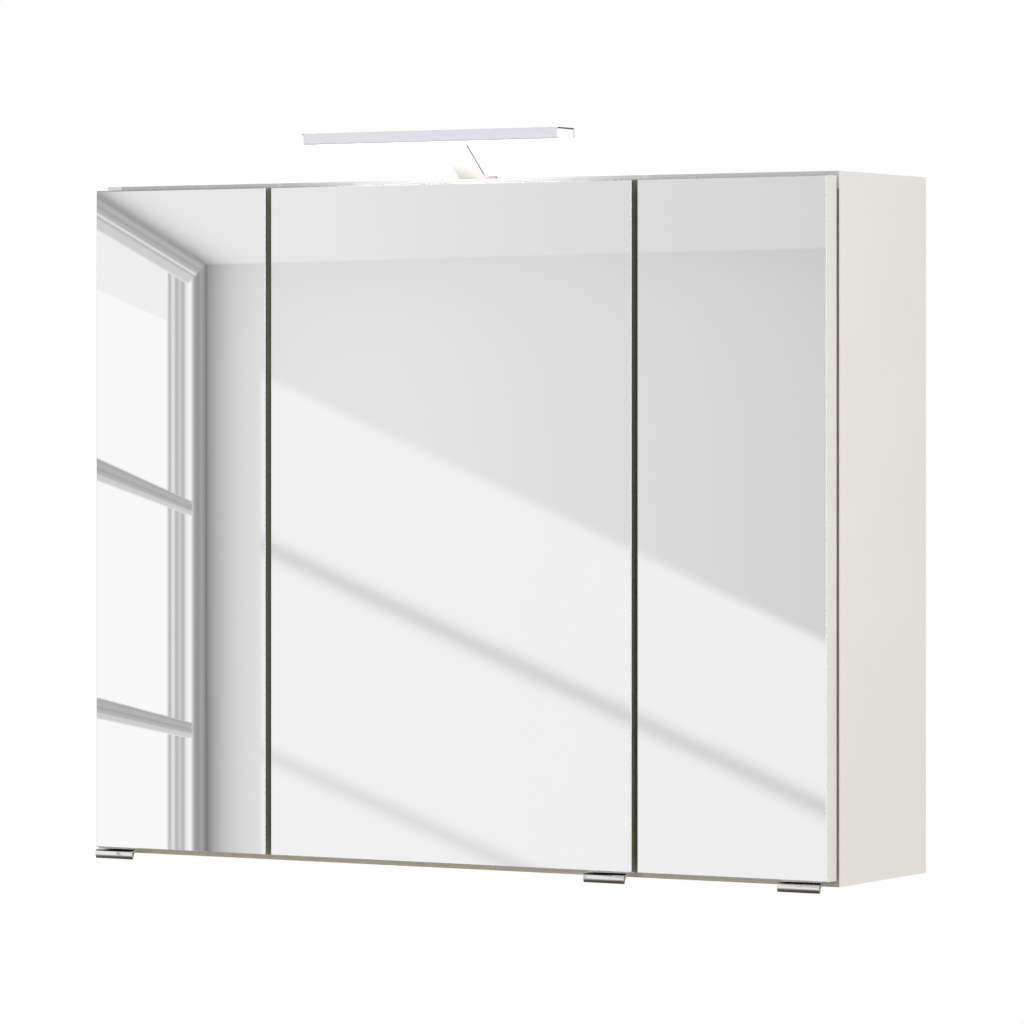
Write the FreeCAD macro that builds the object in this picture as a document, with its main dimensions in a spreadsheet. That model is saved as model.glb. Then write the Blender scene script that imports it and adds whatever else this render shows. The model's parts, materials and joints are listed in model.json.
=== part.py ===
import FreeCAD, Part
import Sketcher
import math
import os

# Wall-hung mirror cabinet with three doors, a lamp on an arm and a switch box.
# Frame: X to the right, Y towards the wall (wall at Y = 0), Z up from the carcase's underside.
# Every size is in millimetres and lives once in the sheet below.

SIZES = {
    # how far a cutting body passes through a face
    "over_cut": 1.0,
    # carcase
    "carcase_width": 800.0,
    "carcase_height": 650.0,
    "carcase_depth": 180.0,
    "board_thick": 16.0,
    "back_thick": 3.0,
    "back_inset": 12.0,
    "groove_depth": 6.0,
    "groove_play": 0.2,
    "partition_offset": 200.0,
    # doors
    "door_gap": 2.5,
    "door_board_thick": 16.0,
    "mirror_thick": 4.0,
    "mirror_bevel": 0.8,
    "door_side_inset": 1.5,
    "door_top_inset": 4.5,
    "door_bottom_inset": 6.0,
    "door_split_gap": 6.0,
    # shelves
    "glass_thick": 5.0,
    "shelf_low": 216.0,
    "shelf_high": 432.0,
    "shelf_side_play": 1.0,
    "shelf_back_play": 1.0,
    "shelf_front_inset": 25.0,
    "shelf_pin_radius": 2.5,
    "shelf_pin_hold": 7.0,
    "shelf_pin_reach": 8.0,
    "shelf_pin_head_radius": 3.4,
    "shelf_pin_collar_radius": 4.5,
    "shelf_pin_collar_thick": 1.0,
    "shelf_pin_crown": 0.4,
    "shelf_pin_clearance": 1.0,
    "shelf_pin_setback": 30.0,
    "shelf_pin_row_pitch": 32.0,
    # knock-down fittings
    "bore_play": 0.1,
    "cam_radius": 7.5,
    "cam_depth": 12.5,
    "cam_distance": 24.0,
    "bolt_shank_radius": 3.0,
    "bolt_bore_radius": 4.0,
    "bolt_thread_radius": 2.5,
    "bolt_thread_length": 10.0,
    "dowel_radius": 4.0,
    "dowel_reach": 18.0,
    "dowel_seat": 10.0,
    "fitting_front_inset": 37.0,
    "fitting_rear_inset": 42.0,
    # hinges: distances from the partition's face and from the carcase's front
    "hinge_low": 86.0,
    "hinge_top_inset": 86.0,
    "arm_pin_out": 26.0,
    "arm_pin_back": 9.0,
    "cup_pin_out": 4.8,
    "cup_pin_front": 10.8,
    "link_elbow_out": 16.4,
    "link_elbow_front": 10.4,
    "link_thick": 2.5,
    "link_width": 6.0,
    "link_boss_radius": 2.2,
    "arm_boss_radius": 2.7,
    "arm_width": 13.0,
    "arm_slot_play": 0.4,
    "arm_thick": 4.0,
    "arm_length": 66.0,
    "arm_crank_back": 26.0,
    "cup_pin_radius": 1.2,
    "arm_pin_radius": 1.5,
    "pin_play": 0.05,
    "cup_radius": 17.5,
    "cup_depth": 11.5,
    "cup_wall": 1.2,
    "cup_floor": 0.8,
    "cup_edge": 3.0,
    "cup_plate_width": 18.0,
    "cup_plate_length": 56.0,
    "cup_plate_thick": 1.0,
    "cup_screw_spacing": 45.0,
    "cup_screw_set": 9.5,
    "plate_thick": 7.0,
    "plate_length": 36.0,
    "plate_width": 16.0,
    "plate_start": 28.0,
    "wing_thick": 2.0,
    "wing_length": 16.0,
    "wing_span": 52.0,
    "wing_screw_spacing": 32.0,
    # screws
    "screw_shank_radius": 1.6,
    "screw_head_radius": 3.2,
    "screw_head_thick": 1.5,
    "screw_length": 11.0,
    "wing_screw_length": 9.0,
    "arm_screw_cover": 1.0,
    "arm_screw_short": 2.0,
    "arm_slot_run": 1.0,
    "arm_screw_share": 0.75,
    "screw_socket_radius": 1.2,
    "screw_socket_depth": 0.8,
    # finger-pull handles
    "handle_length": 43.0,
    "handle_edge_inset": 4.0,
    "handle_back_inset": 3.0,
    "handle_plate_thick": 2.5,
    "handle_reach": 7.5,
    "handle_slope_drop": 2.6,
    "handle_drop": 10.0,
    "handle_root_height": 4.5,
    "handle_lip_depth": 2.6,
    "handle_round": 1.1,
    "handle_scoop_round": 3.0,
    "handle_screw_spacing": 24.0,
    "handle_screw_back": 9.0,
    # bumpers
    "bumper_radius": 4.0,
    "bumper_thick": 2.2,
    "bumper_inset": 15.0,
    "bumper_height": 11.0,
    "bumper_drop": 10.0,
    # lamp
    "lamp_length": 280.0,
    "lamp_depth": 29.0,
    "lamp_height": 9.5,
    "lamp_front": 57.0,
    "lamp_top": 43.7,
    "lamp_wall": 1.2,
    "lamp_cap_thick": 1.6,
    "lamp_cap_plug": 6.0,
    "diffuser_drop": 3.0,
    "diffuser_rise": 2.0,
    "diffuser_wall": 1.2,
    "diffuser_play": 0.1,
    "diffuser_round": 1.5,
    "carrier_thick": 1.5,
    "carrier_play": 1.5,
    "led_strip_width": 12.0,
    "led_strip_thick": 1.0,
    "led_size": 2.8,
    "led_thick": 0.8,
    "led_count": 9.0,
    "led_gap": 1.0,
    "lamp_arm_width": 28.6,
    "lamp_arm_thick": 2.5,
    "lamp_arm_foot_length": 75.0,
    "lamp_arm_bend_inset": 24.8,
    "lamp_arm_bend_reach": 19.2,
    "lamp_arm_head_under": 4.7,
    "lamp_arm_head_hold": 20.0,
    "lamp_screw_radius": 2.0,
    "lamp_screw_head_radius": 4.0,
    "lamp_screw_head_thick": 2.2,
    "lamp_screw_length": 13.0,
    "lamp_screw_spacing": 14.0,
    "foot_screw_first": 62.0,
    "foot_screw_second": 38.0,
    # cable grommet in the top board
    "grommet_radius": 7.0,
    "grommet_bore_radius": 4.0,
    "grommet_flange_radius": 9.5,
    "grommet_flange_thick": 1.5,
    "grommet_back": 48.0,
    # switch box
    "box_width": 110.0,
    "box_depth": 50.0,
    "box_height": 40.0,
    "box_wall": 2.0,
    "box_lead_radius": 5.0,
    "box_cover_thick": 2.5,
    "socket_offset": 25.0,
    "socket_radius": 17.5,
    "socket_wall": 1.5,
    "socket_depth": 13.0,
    "socket_floor": 2.0,
    "socket_pin_radius": 2.6,
    "socket_pin_spacing": 19.0,
    "rocker_offset": 27.0,
    "rocker_width": 14.0,
    "rocker_height": 21.0,
    "rocker_depth": 9.0,
    "rocker_play": 0.4,
    "rocker_swing_play": 1.0,
    "rocker_proud": 2.2,
    "rocker_axle_radius": 1.5,
    "rocker_ear_thick": 2.0,
    "rocker_ear_reach": 4.0,
    "box_screw_inset": 6.0,
    "box_post_radius": 4.5,
    # wall hangers
    "hanger_width": 17.0,
    "hanger_depth": 44.0,
    "hanger_height": 38.0,
    "hanger_slot": 4.0,
    "hanger_wall": 2.0,
    "adjuster_head_radius": 3.75,
    "hook_thick": 2.5,
    "hook_tall": 16.0,
    "hook_reach": 9.5,
    "hook_tip": 6.0,
    "hanger_notch_play": 1.0,
    "hanger_screw_spacing": 26.0,
}

SHEET = "Sizes"


class Size:
    """A number that carries the sheet expression it comes from."""

    def __init__(self, value, text):
        self.value = float(value)
        self.text = text

    def _join(self, other, sign, value):
        return Size(value, "(%s %s %s)" % (self.text, sign, size(other).text))

    def __add__(self, other):
        return self._join(other, "+", self.value + size(other).value)

    def __sub__(self, other):
        return self._join(other, "-", self.value - size(other).value)

    def __mul__(self, other):
        return self._join(other, "*", self.value * size(other).value)

    def __truediv__(self, other):
        return self._join(other, "/", self.value / size(other).value)

    def __neg__(self):
        return Size(-self.value, "(0 - %s)" % self.text)

    def __radd__(self, other):
        return size(other) + self

    def __rsub__(self, other):
        return size(other) - self

    def __rmul__(self, other):
        return size(other) * self


def size(number):
    """Take a Size or a plain number and return a Size."""
    if isinstance(number, Size):
        return number
    return Size(number, "(%r)" % float(number))


def root(number):
    """Square root of a Size."""
    return Size(math.sqrt(number.value), "sqrt(%s)" % number.text)


class Sheet:
    """Every named size, as an attribute that gives its value and its cell."""

    def __init__(self, doc):
        cells = doc.addObject("Spreadsheet::Sheet", SHEET)
        for row, (alias, value) in enumerate(SIZES.items(), start=1):
            cells.set("A%d" % row, alias.replace("_", " "))
            cells.set("B%d" % row, str(value))
            cells.setAlias("B%d" % row, alias)
            setattr(self, alias, Size(value, "%s.%s" % (SHEET, alias)))


doc = FreeCAD.newDocument("mirror_cabinet")
s = Sheet(doc)
doc.recompute()
NODES = {}
serial = {"made": 0}

TURNS = {
    "+X": FreeCAD.Rotation(FreeCAD.Vector(0, 1, 0), 90),
    "-X": FreeCAD.Rotation(FreeCAD.Vector(0, 1, 0), -90),
    "+Y": FreeCAD.Rotation(FreeCAD.Vector(1, 0, 0), -90),
    "-Y": FreeCAD.Rotation(FreeCAD.Vector(1, 0, 0), 90),
    "+Z": FreeCAD.Rotation(),
    "-Z": FreeCAD.Rotation(FreeCAD.Vector(1, 0, 0), 180),
}


# ---------------------------------------------------------------- building helpers

def add(kind, label):
    """Add an object whose name is its label plus a running number."""
    serial["made"] += 1
    made = doc.addObject(kind, "%s_%03d" % (label, serial["made"]))
    made.Label = "%s %03d" % (label, serial["made"])
    return made


def bind(item, prop, amount):
    """Bind one property to the sheet."""
    item.setExpression(prop, size(amount).text)


def place(item, x, y, z):
    """Bind an object's position to the sheet."""
    bind(item, "Placement.Base.x", x)
    bind(item, "Placement.Base.y", y)
    bind(item, "Placement.Base.z", z)


def box(label, x, y, z):
    """Box between two values on each axis: x, y and z are (low, high) pairs."""
    made = add("Part::Box", label)
    bind(made, "Length", size(x[1]) - x[0])
    bind(made, "Width", size(y[1]) - y[0])
    bind(made, "Height", size(z[1]) - z[0])
    place(made, x[0], y[0], z[0])
    return made


def rod(label, towards, start, radius, length):
    """Cylinder from a start point along one of the six axis directions."""
    made = add("Part::Cylinder", label)
    made.Placement = FreeCAD.Placement(FreeCAD.Vector(), TURNS[towards])
    bind(made, "Radius", radius)
    bind(made, "Height", length)
    place(made, *start)
    return made


def along(start, towards, distance):
    """Point at a distance from the start along an axis direction."""
    axis = "XYZ".index(towards[1])
    point = list(start)
    step = size(distance)
    point[axis] = size(point[axis]) + step if towards[0] == "+" else size(point[axis]) - step
    return tuple(point)


def together(label, items):
    """Separate solids kept in one object."""
    made = add("Part::Compound", label)
    made.Links = items
    return made


def fused(label, items):
    """Several solids made one."""
    made = add("Part::MultiFuse", label)
    made.Shapes = items
    return made


def without(label, base, tools):
    """The base with the tools cut out of it."""
    if not tools:
        return base
    made = add("Part::Cut", label)
    made.Base = base
    made.Tool = tools[0] if len(tools) == 1 else together(label + "_cuts", tools)
    return made


def node(name, items):
    """Register the pieces that one node holds."""
    made = items[0] if len(items) == 1 else together(name, items)
    made.Label = name
    NODES[name] = made
    return made


def profile(label, plane, start, length, points, rounds=()):
    """Pad a closed outline from one origin plane; rounds holds (radius, corner numbers)."""
    body = add("PartDesign::Body", label)
    origin = [item for item in body.Origin.OriginFeatures if item.Role == plane][0]
    sketch = body.newObject("Sketcher::SketchObject", body.Name + "_outline")
    sketch.AttachmentSupport = [(origin, "")]
    sketch.MapMode = "FlatFace"
    count = len(points)
    flat = [(size(u), size(v)) for u, v in points]
    for number in range(count):
        here = flat[number]
        there = flat[(number + 1) % count]
        first = FreeCAD.Vector(here[0].value, here[1].value, 0)
        last = FreeCAD.Vector(there[0].value, there[1].value, 0)
        sketch.addGeometry(Part.LineSegment(first, last), False)
    for number in range(count):
        after = (number + 1) % count
        sketch.addConstraint(Sketcher.Constraint("Coincident", number, 2, after, 1))
    for number, (u, v) in enumerate(flat):
        for kind, amount in (("DistanceX", u), ("DistanceY", v)):
            index = sketch.addConstraint(Sketcher.Constraint(kind, -1, 1, number, 1, amount.value))
            sketch.setExpression("Constraints[%d]" % index, amount.text)
    pad = body.newObject("PartDesign::Pad", body.Name + "_pad")
    pad.Profile = sketch
    bind(pad, "Length", length)
    doc.recompute()
    last_feature = pad
    for turn, (radius, corners) in enumerate(rounds):
        names = corner_edges(last_feature.Shape, plane, [flat[corner] for corner in corners])
        fillet = body.newObject("PartDesign::Fillet", "%s_round_%d" % (body.Name, turn))
        fillet.Base = (last_feature, names)
        bind(fillet, "Radius", radius)
        body.Tip = fillet
        doc.recompute()
        last_feature = fillet
    sides = {"YZ_Plane": (start, 0, 0), "XZ_Plane": (0, start, 0), "XY_Plane": (0, 0, start)}
    place(body, *sides[plane])
    return body


def corner_edges(shape, plane, corners):
    """Names of the long edges that stand on the given outline corners."""
    flat_axes = {"YZ_Plane": (1, 2), "XZ_Plane": (0, 2), "XY_Plane": (0, 1)}[plane]
    names = []
    for u, v in corners:
        for number, edge in enumerate(shape.Edges, start=1):
            ends = [vertex.Point for vertex in edge.Vertexes]
            if len(ends) < 2:
                continue
            gaps = [math.hypot(end[flat_axes[0]] - u.value, end[flat_axes[1]] - v.value) for end in ends]
            if max(gaps) < 0.001:
                names.append("Edge%d" % number)
    return names


def screw(label, point, towards, length, radius, head_radius, head_thick):
    """Pan-head screw whose head sits outside the point and whose shank runs along a direction."""
    back = "-" + towards[1] if towards[0] == "+" else "+" + towards[1]
    head = rod(label + "_head", back, point, head_radius, head_thick)
    shank = rod(label + "_shank", towards, point, radius, length)
    top = along(point, back, head_thick)
    socket = rod(label + "_socket", towards, top, s.screw_socket_radius, s.screw_socket_depth)
    return without(label, fused(label + "_solid", [head, shank]), [socket])


def small_screw(label, point, towards):
    """The wood screw that the hinges and fittings use."""
    return screw(label, point, towards, s.screw_length, s.screw_shank_radius, s.screw_head_radius,
                 s.screw_head_thick)


def pilot(label, point, towards, length, radius):
    """Bore that a screw's shank sits in, with a hair of play all round."""
    return rod(label, towards, point, radius + s.bore_play, length + s.bore_play)


# ---------------------------------------------------------------- main lines of the carcase

half_width = s.carcase_width / 2
inner_half = half_width - s.board_thick
front = -s.carcase_depth
back_rear = -s.back_inset
back_front = back_rear - s.back_thick
floor_top = s.board_thick
ceiling = s.carcase_height - s.board_thick
half_board = s.board_thick / 2
partition_faces = {
    "left": (-s.partition_offset - half_board, -s.partition_offset + half_board),
    "right": (s.partition_offset - half_board, s.partition_offset + half_board),
}
bores = {name: [] for name in ("side_panel_left", "side_panel_right", "top_board", "bottom_board",
                               "partition_left", "partition_right")}


# ---------------------------------------------------------------- knock-down fittings

def upright_joint(upright, board, x_middle, level, outward, rows, locks, bolts, dowels):
    """Join a partition to a horizontal board: cams in the partition, bolts in the board."""
    into_board = "+Z" if level is ceiling else "-Z"
    into_upright = "-Z" if level is ceiling else "+Z"
    cam_level = along((x_middle, 0, level), into_upright, s.cam_distance)[2]
    for depth in rows:
        face = partition_faces[outward][0] if outward == "left" else partition_faces[outward][1]
        inward = "+X" if outward == "left" else "-X"
        cam_start = (face, depth, cam_level)
        bores[upright].append(rod("cam_bore", inward, cam_start, s.cam_radius + s.bore_play, s.cam_depth))
        locks.append(rod("cam", inward, cam_start, s.cam_radius, s.cam_depth - s.bore_play))
        seat = (x_middle, depth, level)
        reach = s.cam_distance - s.cam_radius
        bolts.append(cam_bolt(seat, into_board, into_upright, reach))
        bores[board].append(pilot("thread_bore", seat, into_board, s.bolt_thread_length,
                                  s.bolt_thread_radius))
        bores[upright].append(rod("bolt_bore", into_upright, seat, s.bolt_bore_radius, s.cam_distance))
    middle = (x_middle, (rows[0] + rows[1]) / 2, level)
    dowels.append(dowel_pair(middle, into_board, into_upright, board, upright))


def cam_bolt(seat, into_thread, into_bore, reach):
    """Bolt with a threaded end in one board and a shank that reaches the cam in the other."""
    thread = rod("bolt_thread", into_thread, seat, s.bolt_thread_radius, s.bolt_thread_length)
    shank = rod("bolt_shank", into_bore, seat, s.bolt_shank_radius, reach - s.bore_play * 2)
    return fused("cam_bolt", [thread, shank])


def dowel_pair(middle, into_seat, into_bore, seat_board, bore_board):
    """Wooden dowel and its two bores."""
    bores[seat_board].append(pilot("dowel_seat", middle, into_seat, s.dowel_seat, s.dowel_radius))
    bores[bore_board].append(pilot("dowel_bore", middle, into_bore, s.dowel_reach, s.dowel_radius))
    low = rod("dowel_low", into_seat, middle, s.dowel_radius, s.dowel_seat)
    high = rod("dowel_high", into_bore, middle, s.dowel_radius, s.dowel_reach)
    return fused("dowel", [low, high])


def side_joint(side, board, level, rows, locks, bolts, dowels):
    """Join a horizontal board to a side panel: cams in the board's inner face."""
    panel = "side_panel_" + side
    into_panel = "-X" if side == "left" else "+X"
    into_board = "+X" if side == "left" else "-X"
    face = -inner_half if side == "left" else inner_half
    inside = level[1] if board == "bottom_board" else level[0]
    drill = "-Z" if board == "bottom_board" else "+Z"
    middle_level = (size(level[0]) + level[1]) / 2
    cam_x = along((face, 0, 0), into_board, s.cam_distance)[0]
    for depth in rows:
        cam_start = (cam_x, depth, inside)
        bores[board].append(rod("cam_bore", drill, cam_start, s.cam_radius + s.bore_play, s.cam_depth))
        locks.append(rod("cam", drill, cam_start, s.cam_radius, s.cam_depth - s.bore_play))
        seat = (face, depth, middle_level)
        bolts.append(cam_bolt(seat, into_panel, into_board, s.cam_distance - s.cam_radius))
        bores[panel].append(pilot("thread_bore", seat, into_panel, s.bolt_thread_length,
                                  s.bolt_thread_radius))
        bores[board].append(rod("bolt_bore", into_board, seat, s.bolt_bore_radius, s.cam_distance))
    middle = (face, (rows[0] + rows[1]) / 2, middle_level)
    dowels.append(dowel_pair(middle, into_panel, into_board, panel, board))


def knock_down_fittings():
    """Cam locks, cam bolts and dowels at all eight board joints."""
    rows = (front + s.fitting_front_inset, -s.fitting_rear_inset)
    locks, bolts, dowels = [], [], []
    for side in ("left", "right"):
        side_joint(side, "bottom_board", (0, floor_top), rows, locks, bolts, dowels)
        side_joint(side, "top_board", (ceiling, s.carcase_height), rows, locks, bolts, dowels)
        middle = -s.partition_offset if side == "left" else s.partition_offset
        for board, level in (("bottom_board", floor_top), ("top_board", ceiling)):
            upright_joint("partition_" + side, board, middle, level, side, rows, locks, bolts, dowels)
    node("cam_locks", locks)
    node("cam_bolts", bolts)
    node("wood_dowels", dowels)


# ---------------------------------------------------------------- shelves and their pins

def shelf_pin(face, towards, depth, level):
    """Metal pin: a shank in the board, a thin collar and a head that carries the glass."""
    back = "-X" if towards == "+X" else "+X"
    shank = rod("pin_shank", back, (face, depth, level), s.shelf_pin_radius, s.shelf_pin_hold)
    collar = rod("pin_collar", towards, (face, depth, level), s.shelf_pin_collar_radius,
                 s.shelf_pin_collar_thick)
    head = rod("pin_head", towards, (face, depth, level), s.shelf_pin_head_radius, s.shelf_pin_reach)
    pin = fused("shelf_pin_solid", [shank, collar, head])
    crown = level + s.shelf_pin_head_radius - s.shelf_pin_crown
    reach = along((face, depth, level), towards, s.shelf_pin_reach + s.shelf_pin_clearance)[0]
    span = (reach, face) if towards == "-X" else (face, reach)
    margin = s.shelf_pin_collar_radius + s.shelf_pin_clearance
    flat = box("pin_flat", span, (depth - margin, depth + margin), (crown, crown + margin))
    return without("shelf_pin", pin, [flat])


def shelves():
    """Two glass shelves in each compartment, on four pins each, with a row of spare holes."""
    pins = []
    compartments = {
        "left": (-inner_half, partition_faces["left"][0], "side_panel_left", "partition_left"),
        "centre": (partition_faces["left"][1], partition_faces["right"][0], "partition_left",
                   "partition_right"),
        "right": (partition_faces["right"][1], inner_half, "partition_right", "side_panel_right"),
    }
    glass_rear = back_front - s.shelf_back_play
    glass_front = front + s.shelf_front_inset
    depths = (glass_front + s.shelf_pin_setback, glass_rear - s.shelf_pin_setback)
    for place_name, (low, high, low_board, high_board) in compartments.items():
        panes = []
        for level in (s.shelf_low, s.shelf_high):
            pane = box("pane", (low + s.shelf_side_play, high - s.shelf_side_play),
                       (glass_front, glass_rear), (level, level + s.glass_thick))
            panes.append(pane)
            pin_level = level - s.shelf_pin_head_radius + s.shelf_pin_crown
            for depth in depths:
                pins.append(shelf_pin(low, "+X", depth, pin_level))
                pins.append(shelf_pin(high, "-X", depth, pin_level))
                for step in (-1, 0, 1):
                    spot = pin_level + s.shelf_pin_row_pitch * step
                    for face, board, inward in ((low, low_board, "-X"), (high, high_board, "+X")):
                        bores[board].append(pilot("pin_bore", (face, depth, spot), inward,
                                                  s.shelf_pin_hold, s.shelf_pin_radius))
        node("glass_shelves_" + place_name, panes)
    node("shelf_pins", pins)


# ---------------------------------------------------------------- hinges

class Hinge:
    """Coordinates of one hinge side: out is away from the partition, in is towards the wall."""

    def __init__(self, face, side, partition):
        self.face = face
        self.side = side
        self.partition = partition

    def x(self, out):
        return self.face + size(out) * self.side

    def spread(self, low, high):
        """Sorted pair of X values."""
        pair = (self.x(low), self.x(high))
        return pair if self.side > 0 else (pair[1], pair[0])

    def y(self, behind):
        return front + size(behind)

    def away(self):
        return "+X" if self.side > 0 else "-X"

    def inward(self):
        return "-X" if self.side > 0 else "+X"


HINGES = {
    "left": Hinge(partition_faces["left"][0], -1, "partition_left"),
    "centre": Hinge(partition_faces["left"][1], 1, "partition_left"),
    "right": Hinge(partition_faces["right"][1], 1, "partition_right"),
}
hinge_heights = (s.hinge_low, s.carcase_height - s.hinge_top_inset)


def mounting_plate(hinge, level):
    """Cast plate on the partition, with two wings that take its screws."""
    start = s.plate_start
    block = box("plate_block", hinge.spread(0, s.plate_thick),
                (hinge.y(start), hinge.y(start + s.plate_length)),
                (level - s.plate_width / 2, level + s.plate_width / 2))
    wing_from = start + s.plate_length / 2 - s.wing_length / 2
    wing = box("plate_wing", hinge.spread(0, s.wing_thick),
               (hinge.y(wing_from), hinge.y(wing_from + s.wing_length)),
               (level - s.wing_span / 2, level + s.wing_span / 2))
    plate = fused("plate_solid", [block, wing])
    middle = hinge.y(start + s.plate_length / 2)
    holes = []
    screws = []
    for offset in (-s.wing_screw_spacing / 2, s.wing_screw_spacing / 2):
        holes.append(pilot("wing_hole", (hinge.x(0), middle, level + offset), hinge.away(),
                           s.wing_thick, s.screw_shank_radius))
        head = (hinge.x(s.wing_thick), middle, level + offset)
        screws.append(screw("wing_screw", head, hinge.inward(), s.wing_screw_length,
                            s.screw_shank_radius, s.screw_head_radius, s.screw_head_thick))
        bores[hinge.partition].append(pilot("wing_pilot", (hinge.x(0), middle, level + offset),
                                            hinge.inward(), s.wing_screw_length - s.wing_thick,
                                            s.screw_shank_radius))
    arm_screw = (hinge.x(s.plate_thick), hinge.y(start + s.plate_length * s.arm_screw_share), level)
    holes.append(pilot("arm_screw_hole", arm_screw, hinge.inward(), s.plate_thick - s.arm_screw_cover,
                       s.screw_shank_radius))
    return without("mounting_plate", plate, holes), screws


def hinge_arm(hinge, level):
    """Bent steel arm from the mounting plate to the fixed pin, slotted for the link."""
    low = s.plate_thick
    high = s.plate_thick + s.arm_thick
    pin_x = s.arm_pin_out
    pin_y = s.arm_pin_back
    boss = s.arm_boss_radius
    outline = [(hinge.x(low), hinge.y(s.arm_length)),
               (hinge.x(low), hinge.y(s.arm_crank_back)),
               (hinge.x(pin_x - boss), hinge.y(pin_y)),
               (hinge.x(pin_x + boss), hinge.y(pin_y)),
               (hinge.x(pin_x + boss), hinge.y(pin_y + boss)),
               (hinge.x(high), hinge.y(s.arm_crank_back + s.arm_thick * 1.5)),
               (hinge.x(high), hinge.y(s.arm_length))]
    bar = profile("arm_bar", "XY_Plane", level - s.arm_width / 2, s.arm_width, outline,
                  rounds=((s.arm_thick, (1, 5)),))
    eye = rod("arm_eye", "+Z", (hinge.x(pin_x), hinge.y(pin_y), level - s.arm_width / 2),
              boss, s.arm_width)
    half_slot = s.link_width / 2 + s.arm_slot_play
    slot_back = pin_y + boss + s.link_thick
    slot = box("arm_slot", hinge.spread(low + s.arm_thick, pin_x + boss + s.arm_slot_run),
               (hinge.y(0), hinge.y(slot_back)), (level - half_slot, level + half_slot))
    bore = rod("arm_bore", "+Z", (hinge.x(pin_x), hinge.y(pin_y), level - s.arm_width / 2),
               s.arm_pin_radius + s.pin_play, s.arm_width)
    seat_y = hinge.y(s.plate_start + s.plate_length * s.arm_screw_share)
    hole = pilot("arm_hole", (hinge.x(low), seat_y, level), hinge.away(), s.arm_thick,
                 s.screw_shank_radius)
    arm = without("hinge_arm", fused("arm_solid", [bar, eye]), [slot, bore, hole])
    fixing = screw("arm_screw", (hinge.x(high), seat_y, level), hinge.inward(),
                   s.plate_thick + s.arm_thick - s.arm_screw_short, s.screw_shank_radius, s.screw_head_radius,
                   s.screw_head_thick)
    return arm, fixing


def hinge_link(hinge, level):
    """C-shaped link between the arm's pin and the cup's pin."""
    fixed = (s.arm_pin_out, s.arm_pin_back)
    moving = (s.cup_pin_out, -s.cup_pin_front)
    elbow = (s.link_elbow_out, -s.link_elbow_front)
    base = level - s.link_width / 2
    parts = [strip("link_leaf", hinge, fixed, elbow, base),
             strip("link_toe", hinge, elbow, moving, base)]
    for point, radius in ((fixed, s.arm_boss_radius), (moving, s.link_boss_radius),
                          (elbow, s.link_thick / 2)):
        parts.append(rod("link_boss", "+Z", (hinge.x(point[0]), hinge.y(point[1]), base), radius,
                         s.link_width))
    holes = []
    for point, radius in ((fixed, s.arm_pin_radius), (moving, s.cup_pin_radius)):
        holes.append(rod("link_bore", "+Z", (hinge.x(point[0]), hinge.y(point[1]), base),
                         radius + s.pin_play, s.link_width))
    return without("hinge_link", fused("link_solid", parts), holes)


def strip(label, hinge, start, end, base):
    """Straight flat bar of the link's thickness between two points."""
    run = size(end[0]) - start[0]
    rise = size(end[1]) - start[1]
    span = root(run * run + rise * rise)
    across = (rise / span * s.link_thick / 2, -(run / span) * s.link_thick / 2)
    corners = []
    for point, way in ((start, 1), (end, 1), (end, -1), (start, -1)):
        corners.append((hinge.x(size(point[0]) + across[0] * way), hinge.y(size(point[1]) + across[1] * way)))
    return profile(label, "XY_Plane", base, s.link_width, corners)


def hinges():
    """Mounting plates, arms and fixed pins of the six hinges, and each door's pair of links."""
    plates, plate_screws, arms, arm_screws, pins = [], [], [], [], []
    for door, hinge in HINGES.items():
        links = []
        for level in hinge_heights:
            plate, screws = mounting_plate(hinge, level)
            plates.append(plate)
            plate_screws.extend(screws)
            arm, fixing = hinge_arm(hinge, level)
            arms.append(arm)
            arm_screws.append(fixing)
            pins.append(rod("arm_pin", "+Z", (hinge.x(s.arm_pin_out), hinge.y(s.arm_pin_back),
                                              level - s.arm_width / 2), s.arm_pin_radius, s.arm_width))
            links.append(hinge_link(hinge, level))
        node("hinge_links_" + door, links)
    node("hinge_mounting_plates", plates)
    node("hinge_plate_screws", plate_screws)
    node("hinge_arms", arms)
    node("hinge_arm_screws", arm_screws)
    node("hinge_arm_pins", pins)


# ---------------------------------------------------------------- doors

door_back = front - s.door_gap
mirror_back = door_back - s.door_board_thick
mirror_front = mirror_back - s.mirror_thick
door_low = s.door_bottom_inset
door_high = s.carcase_height - s.door_top_inset
split_edge = s.partition_offset - s.door_split_gap / 2
split_far = s.partition_offset + s.door_split_gap / 2
DOOR_SPANS = {
    "left": (-half_width + s.door_side_inset, -split_far),
    "centre": (-split_edge, split_edge),
    "right": (split_far, half_width - s.door_side_inset),
}


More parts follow.
